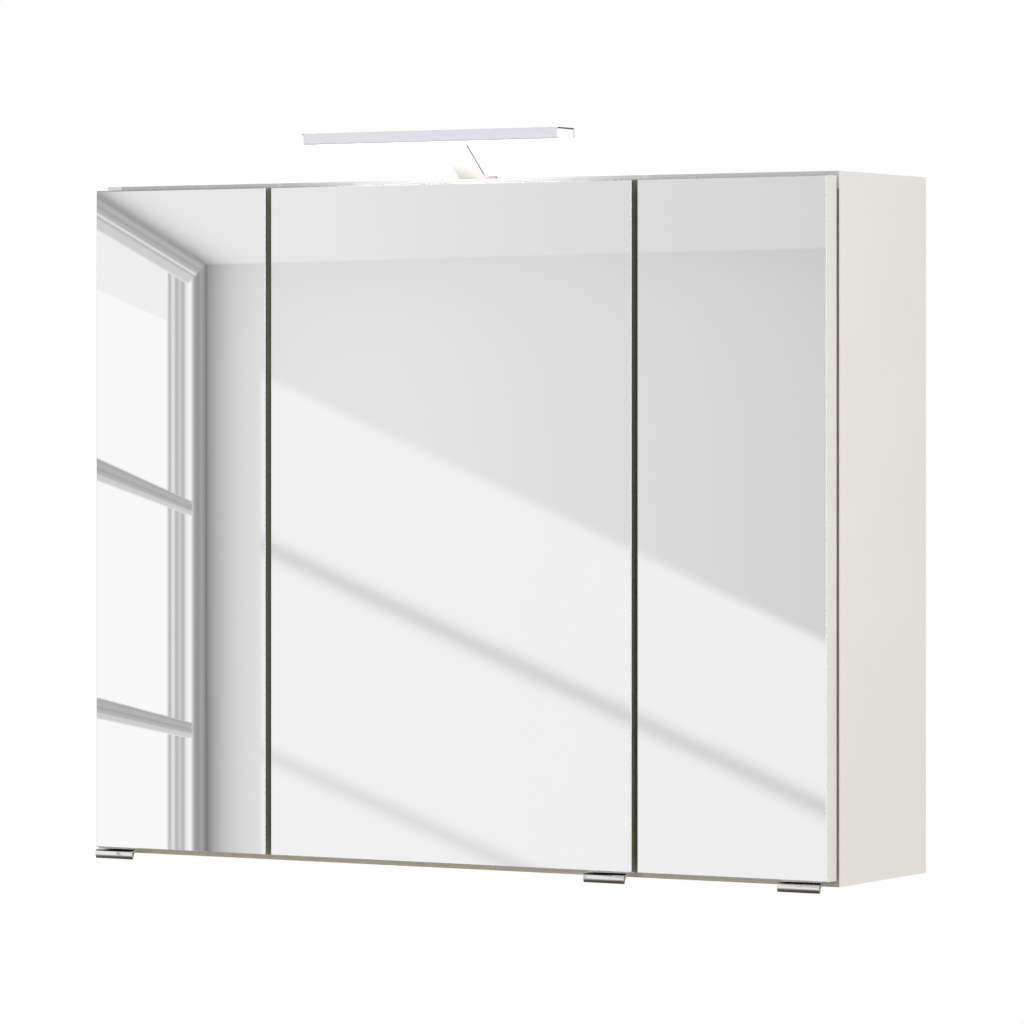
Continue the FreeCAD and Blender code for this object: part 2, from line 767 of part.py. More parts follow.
def hinge_cup(hinge, level, screws, holes):
    """Steel cup in the door's back, with the plate that its two screws hold."""
    centre_out = s.cup_edge + s.cup_radius - (s.board_thick - s.door_split_gap) / 2
    centre = (hinge.x(centre_out), door_back, level)
    holes.append(rod("cup_bore", "-Y", centre, s.cup_radius + s.bore_play, s.cup_depth + s.bore_play))
    shell = rod("cup_shell", "-Y", centre, s.cup_radius, s.cup_depth)
    plate_y = (door_back, door_back + s.cup_plate_thick)
    plate_x = hinge.spread(centre_out - s.cup_plate_width / 2, centre_out + s.cup_plate_width / 2)
    plate = box("cup_plate", plate_x, plate_y,
                (level - s.cup_plate_length / 2, level + s.cup_plate_length / 2))
    mouth = (centre[0], door_back + s.cup_plate_thick, level)
    hollow = rod("cup_hollow", "-Y", mouth, s.cup_radius - s.cup_wall,
                 s.cup_depth + s.cup_plate_thick - s.cup_floor)
    pin_spot = (hinge.x(s.cup_pin_out), hinge.y(-s.cup_pin_front), level - s.cup_radius)
    pin_bore = rod("cup_pin_bore", "+Z", pin_spot, s.cup_pin_radius + s.pin_play, s.cup_radius * 2)
    cuts = [hollow, pin_bore]
    screw_out = centre_out + s.cup_screw_set / 2
    for offset in (-s.cup_screw_spacing / 2, s.cup_screw_spacing / 2):
        spot = (hinge.x(screw_out), door_back, level + offset)
        cuts.append(pilot("cup_screw_hole", spot, "+Y", s.cup_plate_thick, s.screw_shank_radius))
        holes.append(pilot("cup_screw_pilot", spot, "-Y", s.screw_length, s.screw_shank_radius))
        screws.append(small_screw("cup_screw", along(spot, "+Y", s.cup_plate_thick), "-Y"))
    pin = cup_pin(hinge, level)
    return without("hinge_cup", fused("cup_solid", [shell, plate]), cuts), pin


def cup_pin(hinge, level):
    """Pin across the cup; its ends stand in the cup's wall."""
    centre_out = s.cup_edge + s.cup_radius - (s.board_thick - s.door_split_gap) / 2
    offset = centre_out - s.cup_pin_out
    reach = root(s.cup_radius * s.cup_radius - offset * offset) - s.cup_wall / 2
    spot = (hinge.x(s.cup_pin_out), hinge.y(-s.cup_pin_front), level - reach)
    return rod("cup_pin", "+Z", spot, s.cup_pin_radius, reach * 2)


def handle(span, screws, holes):
    """Cast finger pull under the door: a plate, a sloping top and a rounded lip."""
    plate_low = door_low - s.handle_plate_thick
    rear = door_back - s.handle_back_inset
    tip = mirror_front - s.handle_reach
    lip_top = door_low - s.handle_slope_drop
    low = door_low - s.handle_drop
    outline = [(rear, door_low),
               (mirror_front, door_low),
               (tip, lip_top),
               (tip, low + s.handle_round),
               (tip + s.handle_lip_depth / 2, low),
               (tip + s.handle_lip_depth, low),
               (mirror_front - s.handle_lip_depth, door_low - s.handle_root_height),
               (mirror_front + s.handle_lip_depth, plate_low),
               (rear, plate_low)]
    pull = profile("handle_pull", "YZ_Plane", span[0], s.handle_length, outline,
                   rounds=((s.handle_round, (2, 3)), (s.handle_scoop_round, (6,))))
    middle = (span[0] + span[1]) / 2
    cuts = []
    for offset in (-s.handle_screw_spacing / 2, s.handle_screw_spacing / 2):
        spot = (middle + offset, door_back - s.handle_screw_back, plate_low)
        cuts.append(pilot("handle_hole", spot, "+Z", s.handle_plate_thick, s.screw_shank_radius))
        holes.append(pilot("handle_pilot", along(spot, "+Z", s.handle_plate_thick), "+Z",
                           s.screw_length - s.handle_plate_thick, s.screw_shank_radius))
        screws.append(small_screw("handle_screw", spot, "+Z"))
    return without("handle", pull, cuts)


def door(name):
    """One door: board, mirror, handle, cups, pins, screws and bumpers."""
    hinge = HINGES[name]
    low, high = DOOR_SPANS[name]
    screws, holes, cups, pins = [], [], [], []
    for level in hinge_heights:
        cup, pin = hinge_cup(hinge, level, screws, holes)
        cups.append(cup)
        pins.append(pin)
    free = low if hinge.side < 0 else high
    inset = s.handle_edge_inset
    if hinge.side < 0:
        span = (free + inset, free + inset + s.handle_length)
    else:
        span = (free - inset - s.handle_length, free - inset)
    node("handle_" + name, [handle(span, screws, holes)])
    board = box("door_board", (low, high), (mirror_back, door_back), (door_low, door_high))
    node("door_board_" + name, [without("door_board", board, holes)])
    node("mirror_" + name, [mirror(low, high)])
    node("hinge_cups_" + name, cups)
    node("cup_pins_" + name, pins)
    node("door_screws_" + name, screws)
    bumper_x = free - size(s.bumper_inset) * hinge.side
    bumpers = []
    for level in (s.bumper_height, s.carcase_height - s.bumper_drop):
        bumpers.append(rod("bumper", "+Y", (bumper_x, door_back, level), s.bumper_radius, s.bumper_thick))
    node("bumpers_" + name, bumpers)


def mirror(low, high):
    """Silvered glass over the whole board, with a small bevel round its face."""
    blank = box("mirror_blank", (low, high), (mirror_front, mirror_back), (door_low, door_high))
    doc.recompute()
    edges = []
    for number, edge in enumerate(blank.Shape.Edges, start=1):
        if all(abs(vertex.Point.y - mirror_front.value) < 0.001 for vertex in edge.Vertexes):
            edges.append((number, s.mirror_bevel.value, s.mirror_bevel.value))
    bevelled = add("Part::Chamfer", "mirror")
    bevelled.Base = blank
    bevelled.Edges = edges
    return bevelled


# ---------------------------------------------------------------- lamp

lamp_front_y = front - s.lamp_front
lamp_rear_y = lamp_front_y + s.lamp_depth
lamp_top_z = s.carcase_height + s.lamp_top
lamp_low_z = lamp_top_z - s.lamp_height
lamp_half = s.lamp_length / 2
shell_half = lamp_half - s.lamp_cap_thick
head_top = lamp_top_z - s.lamp_arm_head_under
head_low = head_top - s.lamp_arm_thick
foot_top = s.carcase_height + s.lamp_arm_thick


def lamp_arm():
    """Flat steel arm: foot on the top board, slope, and head inside the lamp."""
    foot_end = s.lamp_arm_foot_length - s.carcase_depth
    foot_bend = s.lamp_arm_bend_inset - s.carcase_depth
    head_bend = -s.carcase_depth - s.lamp_arm_bend_reach
    run = foot_bend - head_bend
    rise = head_top - foot_top
    shift = (root(run * run + rise * rise) - run) / rise * s.lamp_arm_thick
    head_end = lamp_rear_y - s.lamp_arm_head_hold
    outline = [(foot_end, s.carcase_height),
               (foot_end, foot_top),
               (foot_bend, foot_top),
               (head_bend, head_top),
               (head_end, head_top),
               (head_end, head_low),
               (head_bend + shift, head_low),
               (foot_bend + shift, s.carcase_height)]
    bar = profile("lamp_bar", "YZ_Plane", -s.lamp_arm_width / 2, s.lamp_arm_width, outline,
                  rounds=((s.lamp_arm_thick, (2, 3)),))
    holes = []
    screws = []
    for depth in (s.foot_screw_first - s.carcase_depth, s.foot_screw_second - s.carcase_depth):
        spot = (0, depth, foot_top)
        holes.append(pilot("foot_hole", (0, depth, s.carcase_height), "+Z", s.lamp_arm_thick,
                           s.lamp_screw_radius))
        screws.append(screw("foot_screw", spot, "-Z", s.lamp_screw_length, s.lamp_screw_radius,
                            s.lamp_screw_head_radius, s.lamp_screw_head_thick))
        bores["top_board"].append(pilot("foot_pilot", (0, depth, s.carcase_height), "-Z",
                                        s.lamp_screw_length - s.lamp_arm_thick, s.lamp_screw_radius))
    head_middle = lamp_rear_y - s.lamp_arm_head_hold / 2
    for offset in (-s.lamp_screw_spacing / 2, s.lamp_screw_spacing / 2):
        spot = (offset, head_middle, head_low)
        holes.append(pilot("head_hole", spot, "+Z", s.lamp_arm_thick, s.screw_shank_radius))
        screws.append(screw("head_screw", spot, "+Z", s.lamp_arm_thick + s.carrier_thick,
                            s.screw_shank_radius, s.screw_head_radius, s.screw_head_thick))
    node("lamp_arm", [without("lamp_arm", bar, holes)])
    node("lamp_screws", screws)


def lamp_shell():
    """Folded cover, open below, with a slot in its rear wall for the arm."""
    wall = s.lamp_wall
    outline = [(lamp_front_y, lamp_low_z),
               (lamp_front_y, lamp_top_z),
               (lamp_rear_y, lamp_top_z),
               (lamp_rear_y, lamp_low_z),
               (lamp_rear_y - wall, lamp_low_z),
               (lamp_rear_y - wall, lamp_top_z - wall),
               (lamp_front_y + wall, lamp_top_z - wall),
               (lamp_front_y + wall, lamp_low_z)]
    cover = profile("lamp_cover", "YZ_Plane", -shell_half, shell_half * 2, outline)
    half_slot = s.lamp_arm_width / 2 + s.bore_play
    slot = box("lamp_slot", (-half_slot, half_slot), (lamp_rear_y - wall - s.over_cut, lamp_rear_y + s.over_cut),
               (lamp_low_z - s.over_cut, head_top + s.bore_play))
    node("lamp_housing", [without("lamp_housing", cover, [slot])])


def lamp_light():
    """Diffuser tray, carrier plate, two light strips and the end caps."""
    wall = s.lamp_wall + s.diffuser_play
    tray_x = (-shell_half + s.diffuser_play, shell_half - s.diffuser_play)
    tray_y = (lamp_front_y + wall, lamp_rear_y - wall)
    tray_z = (lamp_low_z - s.diffuser_drop, lamp_low_z + s.diffuser_rise)
    thick = s.diffuser_wall
    outline = [(tray_y[0], tray_z[1]), (tray_y[0], tray_z[0]), (tray_y[1], tray_z[0]),
               (tray_y[1], tray_z[1]), (tray_y[1] - thick, tray_z[1]),
               (tray_y[1] - thick, tray_z[0] + thick), (tray_y[0] + thick, tray_z[0] + thick),
               (tray_y[0] + thick, tray_z[1])]
    tray = profile("diffuser_tray", "YZ_Plane", tray_x[0], tray_x[1] - tray_x[0], outline,
                   rounds=((s.diffuser_round, (1, 2)),))
    half_slot = s.lamp_arm_width / 2 + s.bore_play * 2
    notch = box("tray_notch", (-half_slot, half_slot), (tray_y[1] - thick - s.over_cut, tray_y[1] + s.over_cut),
                (head_low - s.bore_play * 2, tray_z[1] + s.over_cut))
    node("lamp_diffuser", [without("lamp_diffuser", tray, [notch])])
    plate_half = shell_half - s.carrier_play
    plate_y = (lamp_front_y + wall, lamp_rear_y - wall)
    plate = box("carrier", (-plate_half, plate_half), plate_y, (head_top, head_top + s.carrier_thick))
    head_middle = lamp_rear_y - s.lamp_arm_head_hold / 2
    holes = []
    for offset in (-s.lamp_screw_spacing / 2, s.lamp_screw_spacing / 2):
        holes.append(pilot("carrier_hole", (offset, head_middle, head_top), "+Z", s.carrier_thick,
                           s.screw_shank_radius))
    node("lamp_carrier_plate", [without("carrier_plate", plate, holes)])
    strips = []
    for side in (-1, 1):
        near = s.lamp_arm_width / 2 + s.led_gap
        far = plate_half - s.lamp_cap_plug
        low = near if side > 0 else -far
        high = far if side > 0 else -near
        strips.append(light_strip(low, high, (plate_y[0] + plate_y[1]) / 2))
    node("lamp_led_strips", strips)
    node("lamp_end_caps", [end_cap(side) for side in (-1, 1)])


def light_strip(low, high, middle):
    """Circuit strip under the carrier plate with its row of light chips."""
    half = s.led_strip_width / 2
    under = head_top - s.led_strip_thick
    parts = [box("strip", (low, high), (middle - half, middle + half), (under, head_top))]
    pitch = (high - low) / s.led_count
    for number in range(int(s.led_count.value)):
        spot = low + pitch * (number + 0.5)
        parts.append(box("chip", (spot - s.led_size / 2, spot + s.led_size / 2),
                         (middle - s.led_size / 2, middle + s.led_size / 2),
                         (under - s.led_thick, under)))
    return fused("light_strip", parts)


def end_cap(side):
    """Moulded cap over the cover's end, with a tongue that carries the plate's end."""
    outer = (shell_half, lamp_half) if side > 0 else (-lamp_half, -shell_half)
    face = box("cap_face", outer, (lamp_front_y, lamp_rear_y), (lamp_low_z, lamp_top_z))
    plug_half = shell_half - s.lamp_cap_plug
    inner = (plug_half, shell_half) if side > 0 else (-shell_half, -plug_half)
    wall = s.lamp_wall + s.diffuser_play
    plug = box("cap_plug", inner, (lamp_front_y + wall, lamp_rear_y - wall),
               (head_top + s.carrier_thick, lamp_top_z - wall))
    return fused("end_cap", [face, plug])


# ---------------------------------------------------------------- grommet and switch box

def grommet():
    """Rubber ring in the top board where the lamp's lead enters."""
    spot = (0, -s.grommet_back, s.carcase_height)
    bores["top_board"].append(rod("grommet_hole", "-Z", spot, s.grommet_radius + s.bore_play,
                                  s.board_thick))
    flange = rod("grommet_flange", "+Z", spot, s.grommet_flange_radius, s.grommet_flange_thick)
    body = rod("grommet_body", "-Z", spot, s.grommet_radius, s.board_thick)
    bore = rod("grommet_bore", "-Z", along(spot, "+Z", s.grommet_flange_thick), s.grommet_bore_radius,
               s.board_thick + s.grommet_flange_thick)
    node("cable_grommet", [without("cable_grommet", fused("grommet_solid", [flange, body]), [bore])])


def switch_box():
    """Box under the top board with a socket and a rocker switch in its cover."""
    half = s.box_width / 2
    rear = back_front
    face = rear - s.box_depth
    low = ceiling - s.box_height
    wall = s.box_wall
    case = box("case", (-half, half), (face, rear), (low, ceiling))
    room = box("case_room", (-half + wall, half - wall), (face - s.over_cut, rear - wall),
               (low + wall, ceiling - wall))
    lead = rod("case_lead", "-Z", (0, -s.grommet_back, ceiling), s.box_lead_radius, wall)
    middle = (low + ceiling) / 2
    posts = []
    pilots = []
    screws = []
    holes = []
    outside = face - s.box_cover_thick
    for side in (-1, 1):
        post_x = (half - s.box_screw_inset) * side
        posts.append(rod("post", "+Y", (post_x, face, middle), s.box_post_radius,
                         s.box_depth - wall))
        pilots.append(pilot("post_pilot", (post_x, face, middle), "+Y",
                            s.screw_length - s.box_cover_thick, s.screw_shank_radius))
        holes.append(pilot("cover_hole", (post_x, outside, middle), "+Y", s.box_cover_thick,
                           s.screw_shank_radius))
        screws.append(small_screw("cover_screw", (post_x, outside, middle), "+Y"))
    hollow = without("case_hollow", case, [room, lead])
    node("switch_box_housing", [without("case_bored", fused("case_posts", [hollow] + posts), pilots)])
    node("switch_box_screws", screws)
    cover = box("cover", (-half, half), (outside, face), (low, ceiling))
    socket_x = -s.socket_offset
    holes.append(rod("socket_hole", "+Y", (socket_x, outside, middle), s.socket_radius + s.bore_play,
                     s.box_cover_thick))
    rocker_x = s.rocker_offset
    play = s.rocker_play
    holes.append(box("rocker_hole",
                     (rocker_x - s.rocker_width / 2 - play, rocker_x + s.rocker_width / 2 + play),
                     (outside, face),
                     (middle - s.rocker_height / 2 - s.rocker_swing_play,
                      middle + s.rocker_height / 2 + s.rocker_swing_play)))
    ears = []
    axle_y = face + s.rocker_ear_reach
    for side in (-1, 1):
        edge = rocker_x + (s.rocker_width / 2 + play) * side
        span = (edge, edge + s.rocker_ear_thick) if side > 0 else (edge - s.rocker_ear_thick, edge)
        ears.append(box("rocker_ear", span, (face, axle_y + s.rocker_ear_reach),
                        (middle - s.rocker_ear_reach, middle + s.rocker_ear_reach)))
    axle_bore = rod("axle_bore", "+X", (rocker_x - s.rocker_width, axle_y, middle),
                    s.rocker_axle_radius + s.pin_play, s.rocker_width * 2)
    plain = without("cover_plain", cover, holes)
    node("switch_box_cover", [without("cover_bored", fused("cover_ears", [plain] + ears), [axle_bore])])
    node("socket_insert", [socket(socket_x, outside, middle)])
    node("rocker_switch", [rocker(rocker_x, outside, axle_y, middle)])


def socket(middle_x, outside, middle):
    """Round socket cup with two contact holes in its floor."""
    cup = rod("socket_cup", "+Y", (middle_x, outside, middle), s.socket_radius, s.socket_depth)
    cuts = [rod("socket_room", "+Y", (middle_x, outside, middle), s.socket_radius - s.socket_wall,
                s.socket_depth - s.socket_floor)]
    for side in (-1, 1):
        cuts.append(rod("contact", "+Y", (middle_x + s.socket_pin_spacing / 2 * side, outside, middle),
                        s.socket_pin_radius, s.socket_depth))
    return without("socket_insert", cup, cuts)


def rocker(middle_x, outside, axle_y, middle):
    """Rocker with a shallow V face, on its own moulded axle."""
    half = s.rocker_height / 2
    proud = outside - s.rocker_proud
    dip = outside - s.rocker_proud / 2
    rear = outside + s.rocker_depth
    outline = [(proud, middle - half), (dip, middle), (proud, middle + half),
               (outside + s.rocker_proud, middle + half), (rear, middle + half / 3),
               (rear, middle - half / 3), (outside + s.rocker_proud, middle - half)]
    paddle = profile("rocker_paddle", "YZ_Plane", middle_x - s.rocker_width / 2, s.rocker_width, outline)
    reach = s.rocker_width / 2 + s.rocker_play + s.rocker_ear_thick
    axle = rod("rocker_axle", "+X", (middle_x - reach, axle_y, middle), s.rocker_axle_radius, reach * 2)
    return fused("rocker", [paddle, axle])


# ---------------------------------------------------------------- wall hangers

def wall_hangers():
    """Hanger boxes in the top corners, with hooks that reach through the back panel."""
    housings, hooks, screws, notches = [], [], [], []
    for side in (-1, 1):
        wall_face = inner_half * side
        near = (inner_half - s.hanger_width) * side
        span = (wall_face, near) if side < 0 else (near, wall_face)
        case_y = (back_front - s.hanger_depth, back_front)
        case_z = (ceiling - s.hanger_height, ceiling)
        case = box("hanger_case", span, case_y, case_z)
        middle_x = (span[0] + span[1]) / 2
        middle_z = (case_z[0] + case_z[1]) / 2
        slot = box("hanger_slot", (middle_x - s.hanger_slot / 2, middle_x + s.hanger_slot / 2),
                   (case_y[0] + s.hanger_wall, case_y[1] + s.over_cut),
                   (middle_z - s.hook_tall / 2 - s.over_cut, middle_z + s.hook_tall / 2 + s.over_cut))
        inward = "-X" if side < 0 else "+X"
        outward = "+X" if side < 0 else "-X"
        cuts = [slot]
        for offset in (-s.hanger_screw_spacing / 2, s.hanger_screw_spacing / 2):
            level = middle_z + offset
            depth = back_front - s.hanger_depth / 2
            cuts.append(rod("hanger_hole", inward, (near, depth, level), s.screw_shank_radius + s.bore_play,
                            s.hanger_width))
            screws.append(screw("hanger_screw", (near, depth, level), inward,
                                s.hanger_width + s.bolt_thread_length, s.screw_shank_radius,
                                s.screw_head_radius, s.screw_head_thick))
            bores["side_panel_left" if side < 0 else "side_panel_right"].append(
                pilot("hanger_pilot", (wall_face, depth, level), inward, s.bolt_thread_length,
                      s.screw_shank_radius))
        adjuster = (middle_x, case_y[0], middle_z)
        cuts.append(pilot("adjuster_hole", adjuster, "+Y", s.hanger_wall, s.bolt_thread_radius))
        housings.append(without("hanger_housing", case, cuts))
        hook_x = (middle_x - s.hook_thick / 2, middle_x + s.hook_thick / 2)
        tongue = box("hook_tongue", hook_x, (case_y[0] + s.hanger_wall + s.bore_play, back_rear + s.hook_reach),
                     (middle_z - s.hook_tall / 2, middle_z + s.hook_tall / 2))
        tip = box("hook_tip", hook_x, (back_rear + s.hook_reach - s.hook_thick, back_rear + s.hook_reach),
                  (middle_z - s.hook_tall / 2 - s.hook_tip, middle_z))
        hooks.append(fused("hanger_hook", [tongue, tip]))
        margin = s.hanger_notch_play
        notches.append(box("hook_notch", (hook_x[0] - margin, hook_x[1] + margin),
                           (back_front - s.over_cut, back_rear + s.over_cut),
                           (middle_z - s.hook_tall / 2 - margin, middle_z + s.hook_tall / 2 + margin)))
        screws.append(screw("adjuster", adjuster, "+Y", s.hanger_wall, s.bolt_thread_radius, s.adjuster_head_radius,
                            s.screw_head_thick))
    node("hanger_housings", housings)
    node("hanger_hooks", hooks)
    node("hanger_screws", screws)
    return notches


# ---------------------------------------------------------------- carcase boards

def carcase(notches):
    """The six boards with their grooves and bores, and the back panel."""
    groove_y = (back_front - s.groove_play / 2, back_rear + s.groove_play / 2)
    depth = (front, 0)
    tall = (0, s.carcase_height)
    flat = (-inner_half, inner_half)
    for side in (-1, 1):
        name = "side_panel_left" if side < 0 else "side_panel_right"
        outer = (-half_width, -inner_half) if side < 0 else (inner_half, half_width)
        floor_of_groove = (inner_half + s.groove_depth) * side
        face = inner_half * side
        span = (floor_of_groove, face) if side < 0 else (face, floor_of_groove)
        groove = box("groove", span, groove_y,
                     (floor_top - s.groove_depth, ceiling + s.groove_depth))
        node(name, [without(name, box(name, outer, depth, tall), [groove] + bores[name])])
    for name, level, cut in (("bottom_board", (0, floor_top), (floor_top - s.groove_depth, floor_top)),
                             ("top_board", (ceiling, s.carcase_height), (ceiling, ceiling + s.groove_depth))):
        groove = box("groove", flat, groove_y, cut)
        node(name, [without(name, box(name, flat, depth, level), [groove] + bores[name])])
    for side in ("left", "right"):
        name = "partition_" + side
        board = box(name, partition_faces[side], (front, back_front), (floor_top, ceiling))
        node(name, [without(name, board, bores[name])])
    reach = s.groove_depth - s.groove_play
    panel = box("back", (-inner_half - reach, inner_half + reach), (back_front, back_rear),
                (floor_top - reach, ceiling + reach))
    node("back_panel", [without("back_panel", panel, notches)])


# ---------------------------------------------------------------- build, check and write

def check_and_write():
    """Stop on any failed object or bad solid, then write one file per node."""
    doc.recompute()
    faults = [item.Label for item in doc.Objects if {"Invalid", "Error"} & set(item.State)]
    for name, item in NODES.items():
        shape = item.Shape
        if shape.isNull() or not shape.isValid() or not shape.Solids:
            faults.append(name)
    if faults:
        raise RuntimeError("failed objects: " + ", ".join(faults))
    os.makedirs("parts", exist_ok=True)
    for name, item in NODES.items():
        item.Shape.exportStep("parts/%s.step" % name)
        print("%-26s %2d solids  %10.1f mm3" % (name, len(item.Shape.Solids), item.Shape.Volume))
    print(len(NODES), "nodes")


knock_down_fittings()
shelves()
hinges()
for door_name in HINGES:
    door(door_name)
lamp_arm()
lamp_shell()
lamp_light()
grommet()
switch_box()
carcase(wall_hangers())
check_and_write()
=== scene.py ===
"""Looks of a wall-hung mirror cabinet: three mirror doors, a lamp on an arm, a switch box."""
import json
import math

import bmesh
import bpy
import numpy as np
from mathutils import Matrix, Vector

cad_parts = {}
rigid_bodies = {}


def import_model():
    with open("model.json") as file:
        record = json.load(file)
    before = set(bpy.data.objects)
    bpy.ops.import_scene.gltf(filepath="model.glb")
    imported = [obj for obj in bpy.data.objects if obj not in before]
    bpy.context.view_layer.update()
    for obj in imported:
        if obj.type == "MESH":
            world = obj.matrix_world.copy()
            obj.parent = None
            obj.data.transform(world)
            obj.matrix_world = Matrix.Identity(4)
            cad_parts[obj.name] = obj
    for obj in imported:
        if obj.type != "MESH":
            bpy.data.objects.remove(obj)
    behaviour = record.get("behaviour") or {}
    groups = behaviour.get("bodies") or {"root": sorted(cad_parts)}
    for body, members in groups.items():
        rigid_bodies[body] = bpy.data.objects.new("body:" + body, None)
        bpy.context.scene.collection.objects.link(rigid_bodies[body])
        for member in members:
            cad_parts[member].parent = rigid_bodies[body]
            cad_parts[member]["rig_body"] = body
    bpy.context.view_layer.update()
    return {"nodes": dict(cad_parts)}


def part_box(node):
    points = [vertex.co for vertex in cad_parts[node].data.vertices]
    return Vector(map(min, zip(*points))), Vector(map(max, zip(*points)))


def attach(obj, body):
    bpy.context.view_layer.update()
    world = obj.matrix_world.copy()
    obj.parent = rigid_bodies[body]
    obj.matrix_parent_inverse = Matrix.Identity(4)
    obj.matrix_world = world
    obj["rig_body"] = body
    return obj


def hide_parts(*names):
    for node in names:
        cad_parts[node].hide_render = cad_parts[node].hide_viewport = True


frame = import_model()
NODES = frame["nodes"]
MM = 0.001


# ---------------------------------------------------------------- helpers

def linear(hex_colour):
    """An sRGB hex colour as linear RGBA."""
    parts = [int(hex_colour[i:i + 2], 16) / 255 for i in (1, 3, 5)]
    return [p / 12.92 if p <= 0.04045 else ((p + 0.055) / 1.055) ** 2.4 for p in parts] + [1.0]


def add_node(tree, kind, inputs=None, **settings):
    """Adds a shader node, sets its properties, and fills or links its inputs."""
    made = tree.nodes.new("ShaderNode" + kind)
    for name, value in settings.items():
        setattr(made, name, value)
    for name, value in (inputs or {}).items():
        if isinstance(value, bpy.types.NodeSocket):
            tree.links.new(value, made.inputs[name])
        else:
            made.inputs[name].default_value = value
    return made


def new_material(name):
    """An empty node material and its tree."""
    material = bpy.data.materials.new(name)
    material.use_nodes = True
    material.node_tree.nodes.clear()
    return material, material.node_tree


# ---------------------------------------------------------------- materials

# Most of a noise's values lie between these, so a clear pattern stretches them to 0 and 1.
NOISE_LOW, NOISE_HIGH = 0.3, 0.7


def surface(name, cell, tones, rough, detail=2.0, stretch=(1, 1, 1), clear=False, cloud=None,
            depth=0.0, **sockets):
    """A principled material with a noise pattern through it, on object coordinates. The cells
    are cell mm across, and longer by stretch along x, y and z. Two tones, and two values of
    rough, follow the pattern, and one alone is the same all over. A clear pattern uses the whole
    way between its tones, and with cloud the tones follow a second noise with cells of cloud mm.
    The relief stands depth mm deep. The other sockets are set as they are given."""
    material, tree = new_material(name)
    place = add_node(tree, "TexCoord", name="place").outputs["Object"]
    scaled = add_node(tree, "Mapping", {"Vector": place,
                                        "Scale": [1000 / cell / s for s in stretch]})
    noise = add_node(tree, "TexNoise", {"Vector": scaled.outputs[0], "Scale": 1.0,
                                        "Detail": detail, "Roughness": 0.5},
                     name="pattern").outputs["Fac"]
    inputs = {socket.replace("_", " "): value for socket, value in sockets.items()}
    share = noise
    if cloud:
        wide = add_node(tree, "Mapping", {"Vector": place, "Scale": [1000 / cloud] * 3})
        share = add_node(tree, "TexNoise", {"Vector": wide.outputs[0], "Scale": 1.0, "Detail": 2.0,
                                            "Roughness": 0.5}).outputs["Fac"]
    if clear:
        share = add_node(tree, "MapRange", {"Value": share, "From Min": NOISE_LOW,
                                            "From Max": NOISE_HIGH}).outputs[0]
    inputs["Base Color"] = linear(tones[0])
    if len(tones) == 2:
        inputs["Base Color"] = add_node(tree, "Mix", {0: share, 6: linear(tones[0]),
                                                      7: linear(tones[1])},
                                        data_type="RGBA").outputs[2]
    inputs["Roughness"] = rough
    if isinstance(rough, tuple):
        inputs["Roughness"] = add_node(tree, "MapRange", {
            "Value": noise, "From Min": NOISE_LOW, "From Max": NOISE_HIGH,
            "To Min": rough[0], "To Max": rough[1]}).outputs[0]
    if depth:
        inputs["Normal"] = add_node(tree, "Bump", {"Height": noise, "Strength": 1.0,
                                                   "Distance": depth * MM}).outputs[0]
    skin = add_node(tree, "BsdfPrincipled", inputs, name="skin")
    add_node(tree, "OutputMaterial", {"Surface": skin.outputs[0]})
    return material


def changed_above(material, low, high, tones):
    """Gives a surface another tone, or two that follow its pattern, above a height. The change
    runs from low to high, in metres, and its share, 0 below and 1 above, is returned."""
    tree = material.node_tree
    place, pattern, skin = (tree.nodes[name] for name in ("place", "pattern", "skin"))
    height = add_node(tree, "SeparateXYZ", {"Vector": place.outputs["Object"]}).outputs["Z"]
    share = add_node(tree, "MapRange", {"Value": height, "From Min": low,
                                        "From Max": high}).outputs[0]
    base = skin.inputs["Base Color"]
    under = base.links[0].from_socket if base.is_linked else list(base.default_value)
    upper = linear(tones[0])
    if len(tones) == 2:
        upper = add_node(tree, "Mix", {0: pattern.outputs["Fac"], 6: upper,
                                       7: linear(tones[1])}, data_type="RGBA").outputs[2]
    both = add_node(tree, "Mix", {0: share, 6: under, 7: upper}, data_type="RGBA").outputs[2]
    tree.links.new(both, base)
    return share


def front_edge_painted_shade():
    """Painted shade on the carcase's front edges, behind the doors: taupe and matt for the shade in
    the gaps, and a lighter grey along the top board."""
    material = surface("front_edge_painted_shade_taupe", 1.5, ("#938B7E", "#A29A8D"), (0.5, 0.62),
                       stretch=(6, 1, 6), depth=0.02)
    changed_above(material, 0.6335, 0.6345, ("#CECED0", "#D6D6D7"))
    return material


def painted_shadow_line():
    """Painted shadow lines on the side edges of the lamp arm and on the rim of its end caps: dark
    grey, and near-white low down at the arm's foot."""
    material = surface("edge_painted_shadow_line", 1.2, ("#E6E5EC",), (0.35, 0.5), detail=3.0,
                       stretch=(1, 6, 1), depth=0.02)
    changed_above(material, 0.6535, 0.6555, ("#505054", "#646468"))
    return material


def opal_acrylic():
    """Opal acrylic with the lamp behind it: glows evenly, a little warmer in patches. Its upper
    rim, 1.5 mm of it in sight, is masked with the housing's paint and stays dark."""
    strength = 5.0
    material = surface("opal_acrylic", 30.0, ("#FAFAF7",), (0.3, 0.36), IOR=1.49)
    masked = changed_above(material, 0.6825, 0.6828, ("#D8D7E0",))
    tree = material.node_tree
    glow = add_node(tree, "Math", {0: masked, 1: -strength, 2: strength},
                    operation="MULTIPLY_ADD").outputs[0]
    warm = add_node(tree, "Mix", {0: tree.nodes["pattern"].outputs["Fac"], 6: linear("#FFFDF6"),
                                  7: linear("#FFFFFF")}, data_type="RGBA").outputs[2]
    tree.links.new(glow, tree.nodes["skin"].inputs["Emission Strength"])
    tree.links.new(warm, tree.nodes["skin"].inputs["Emission Color"])
    return material


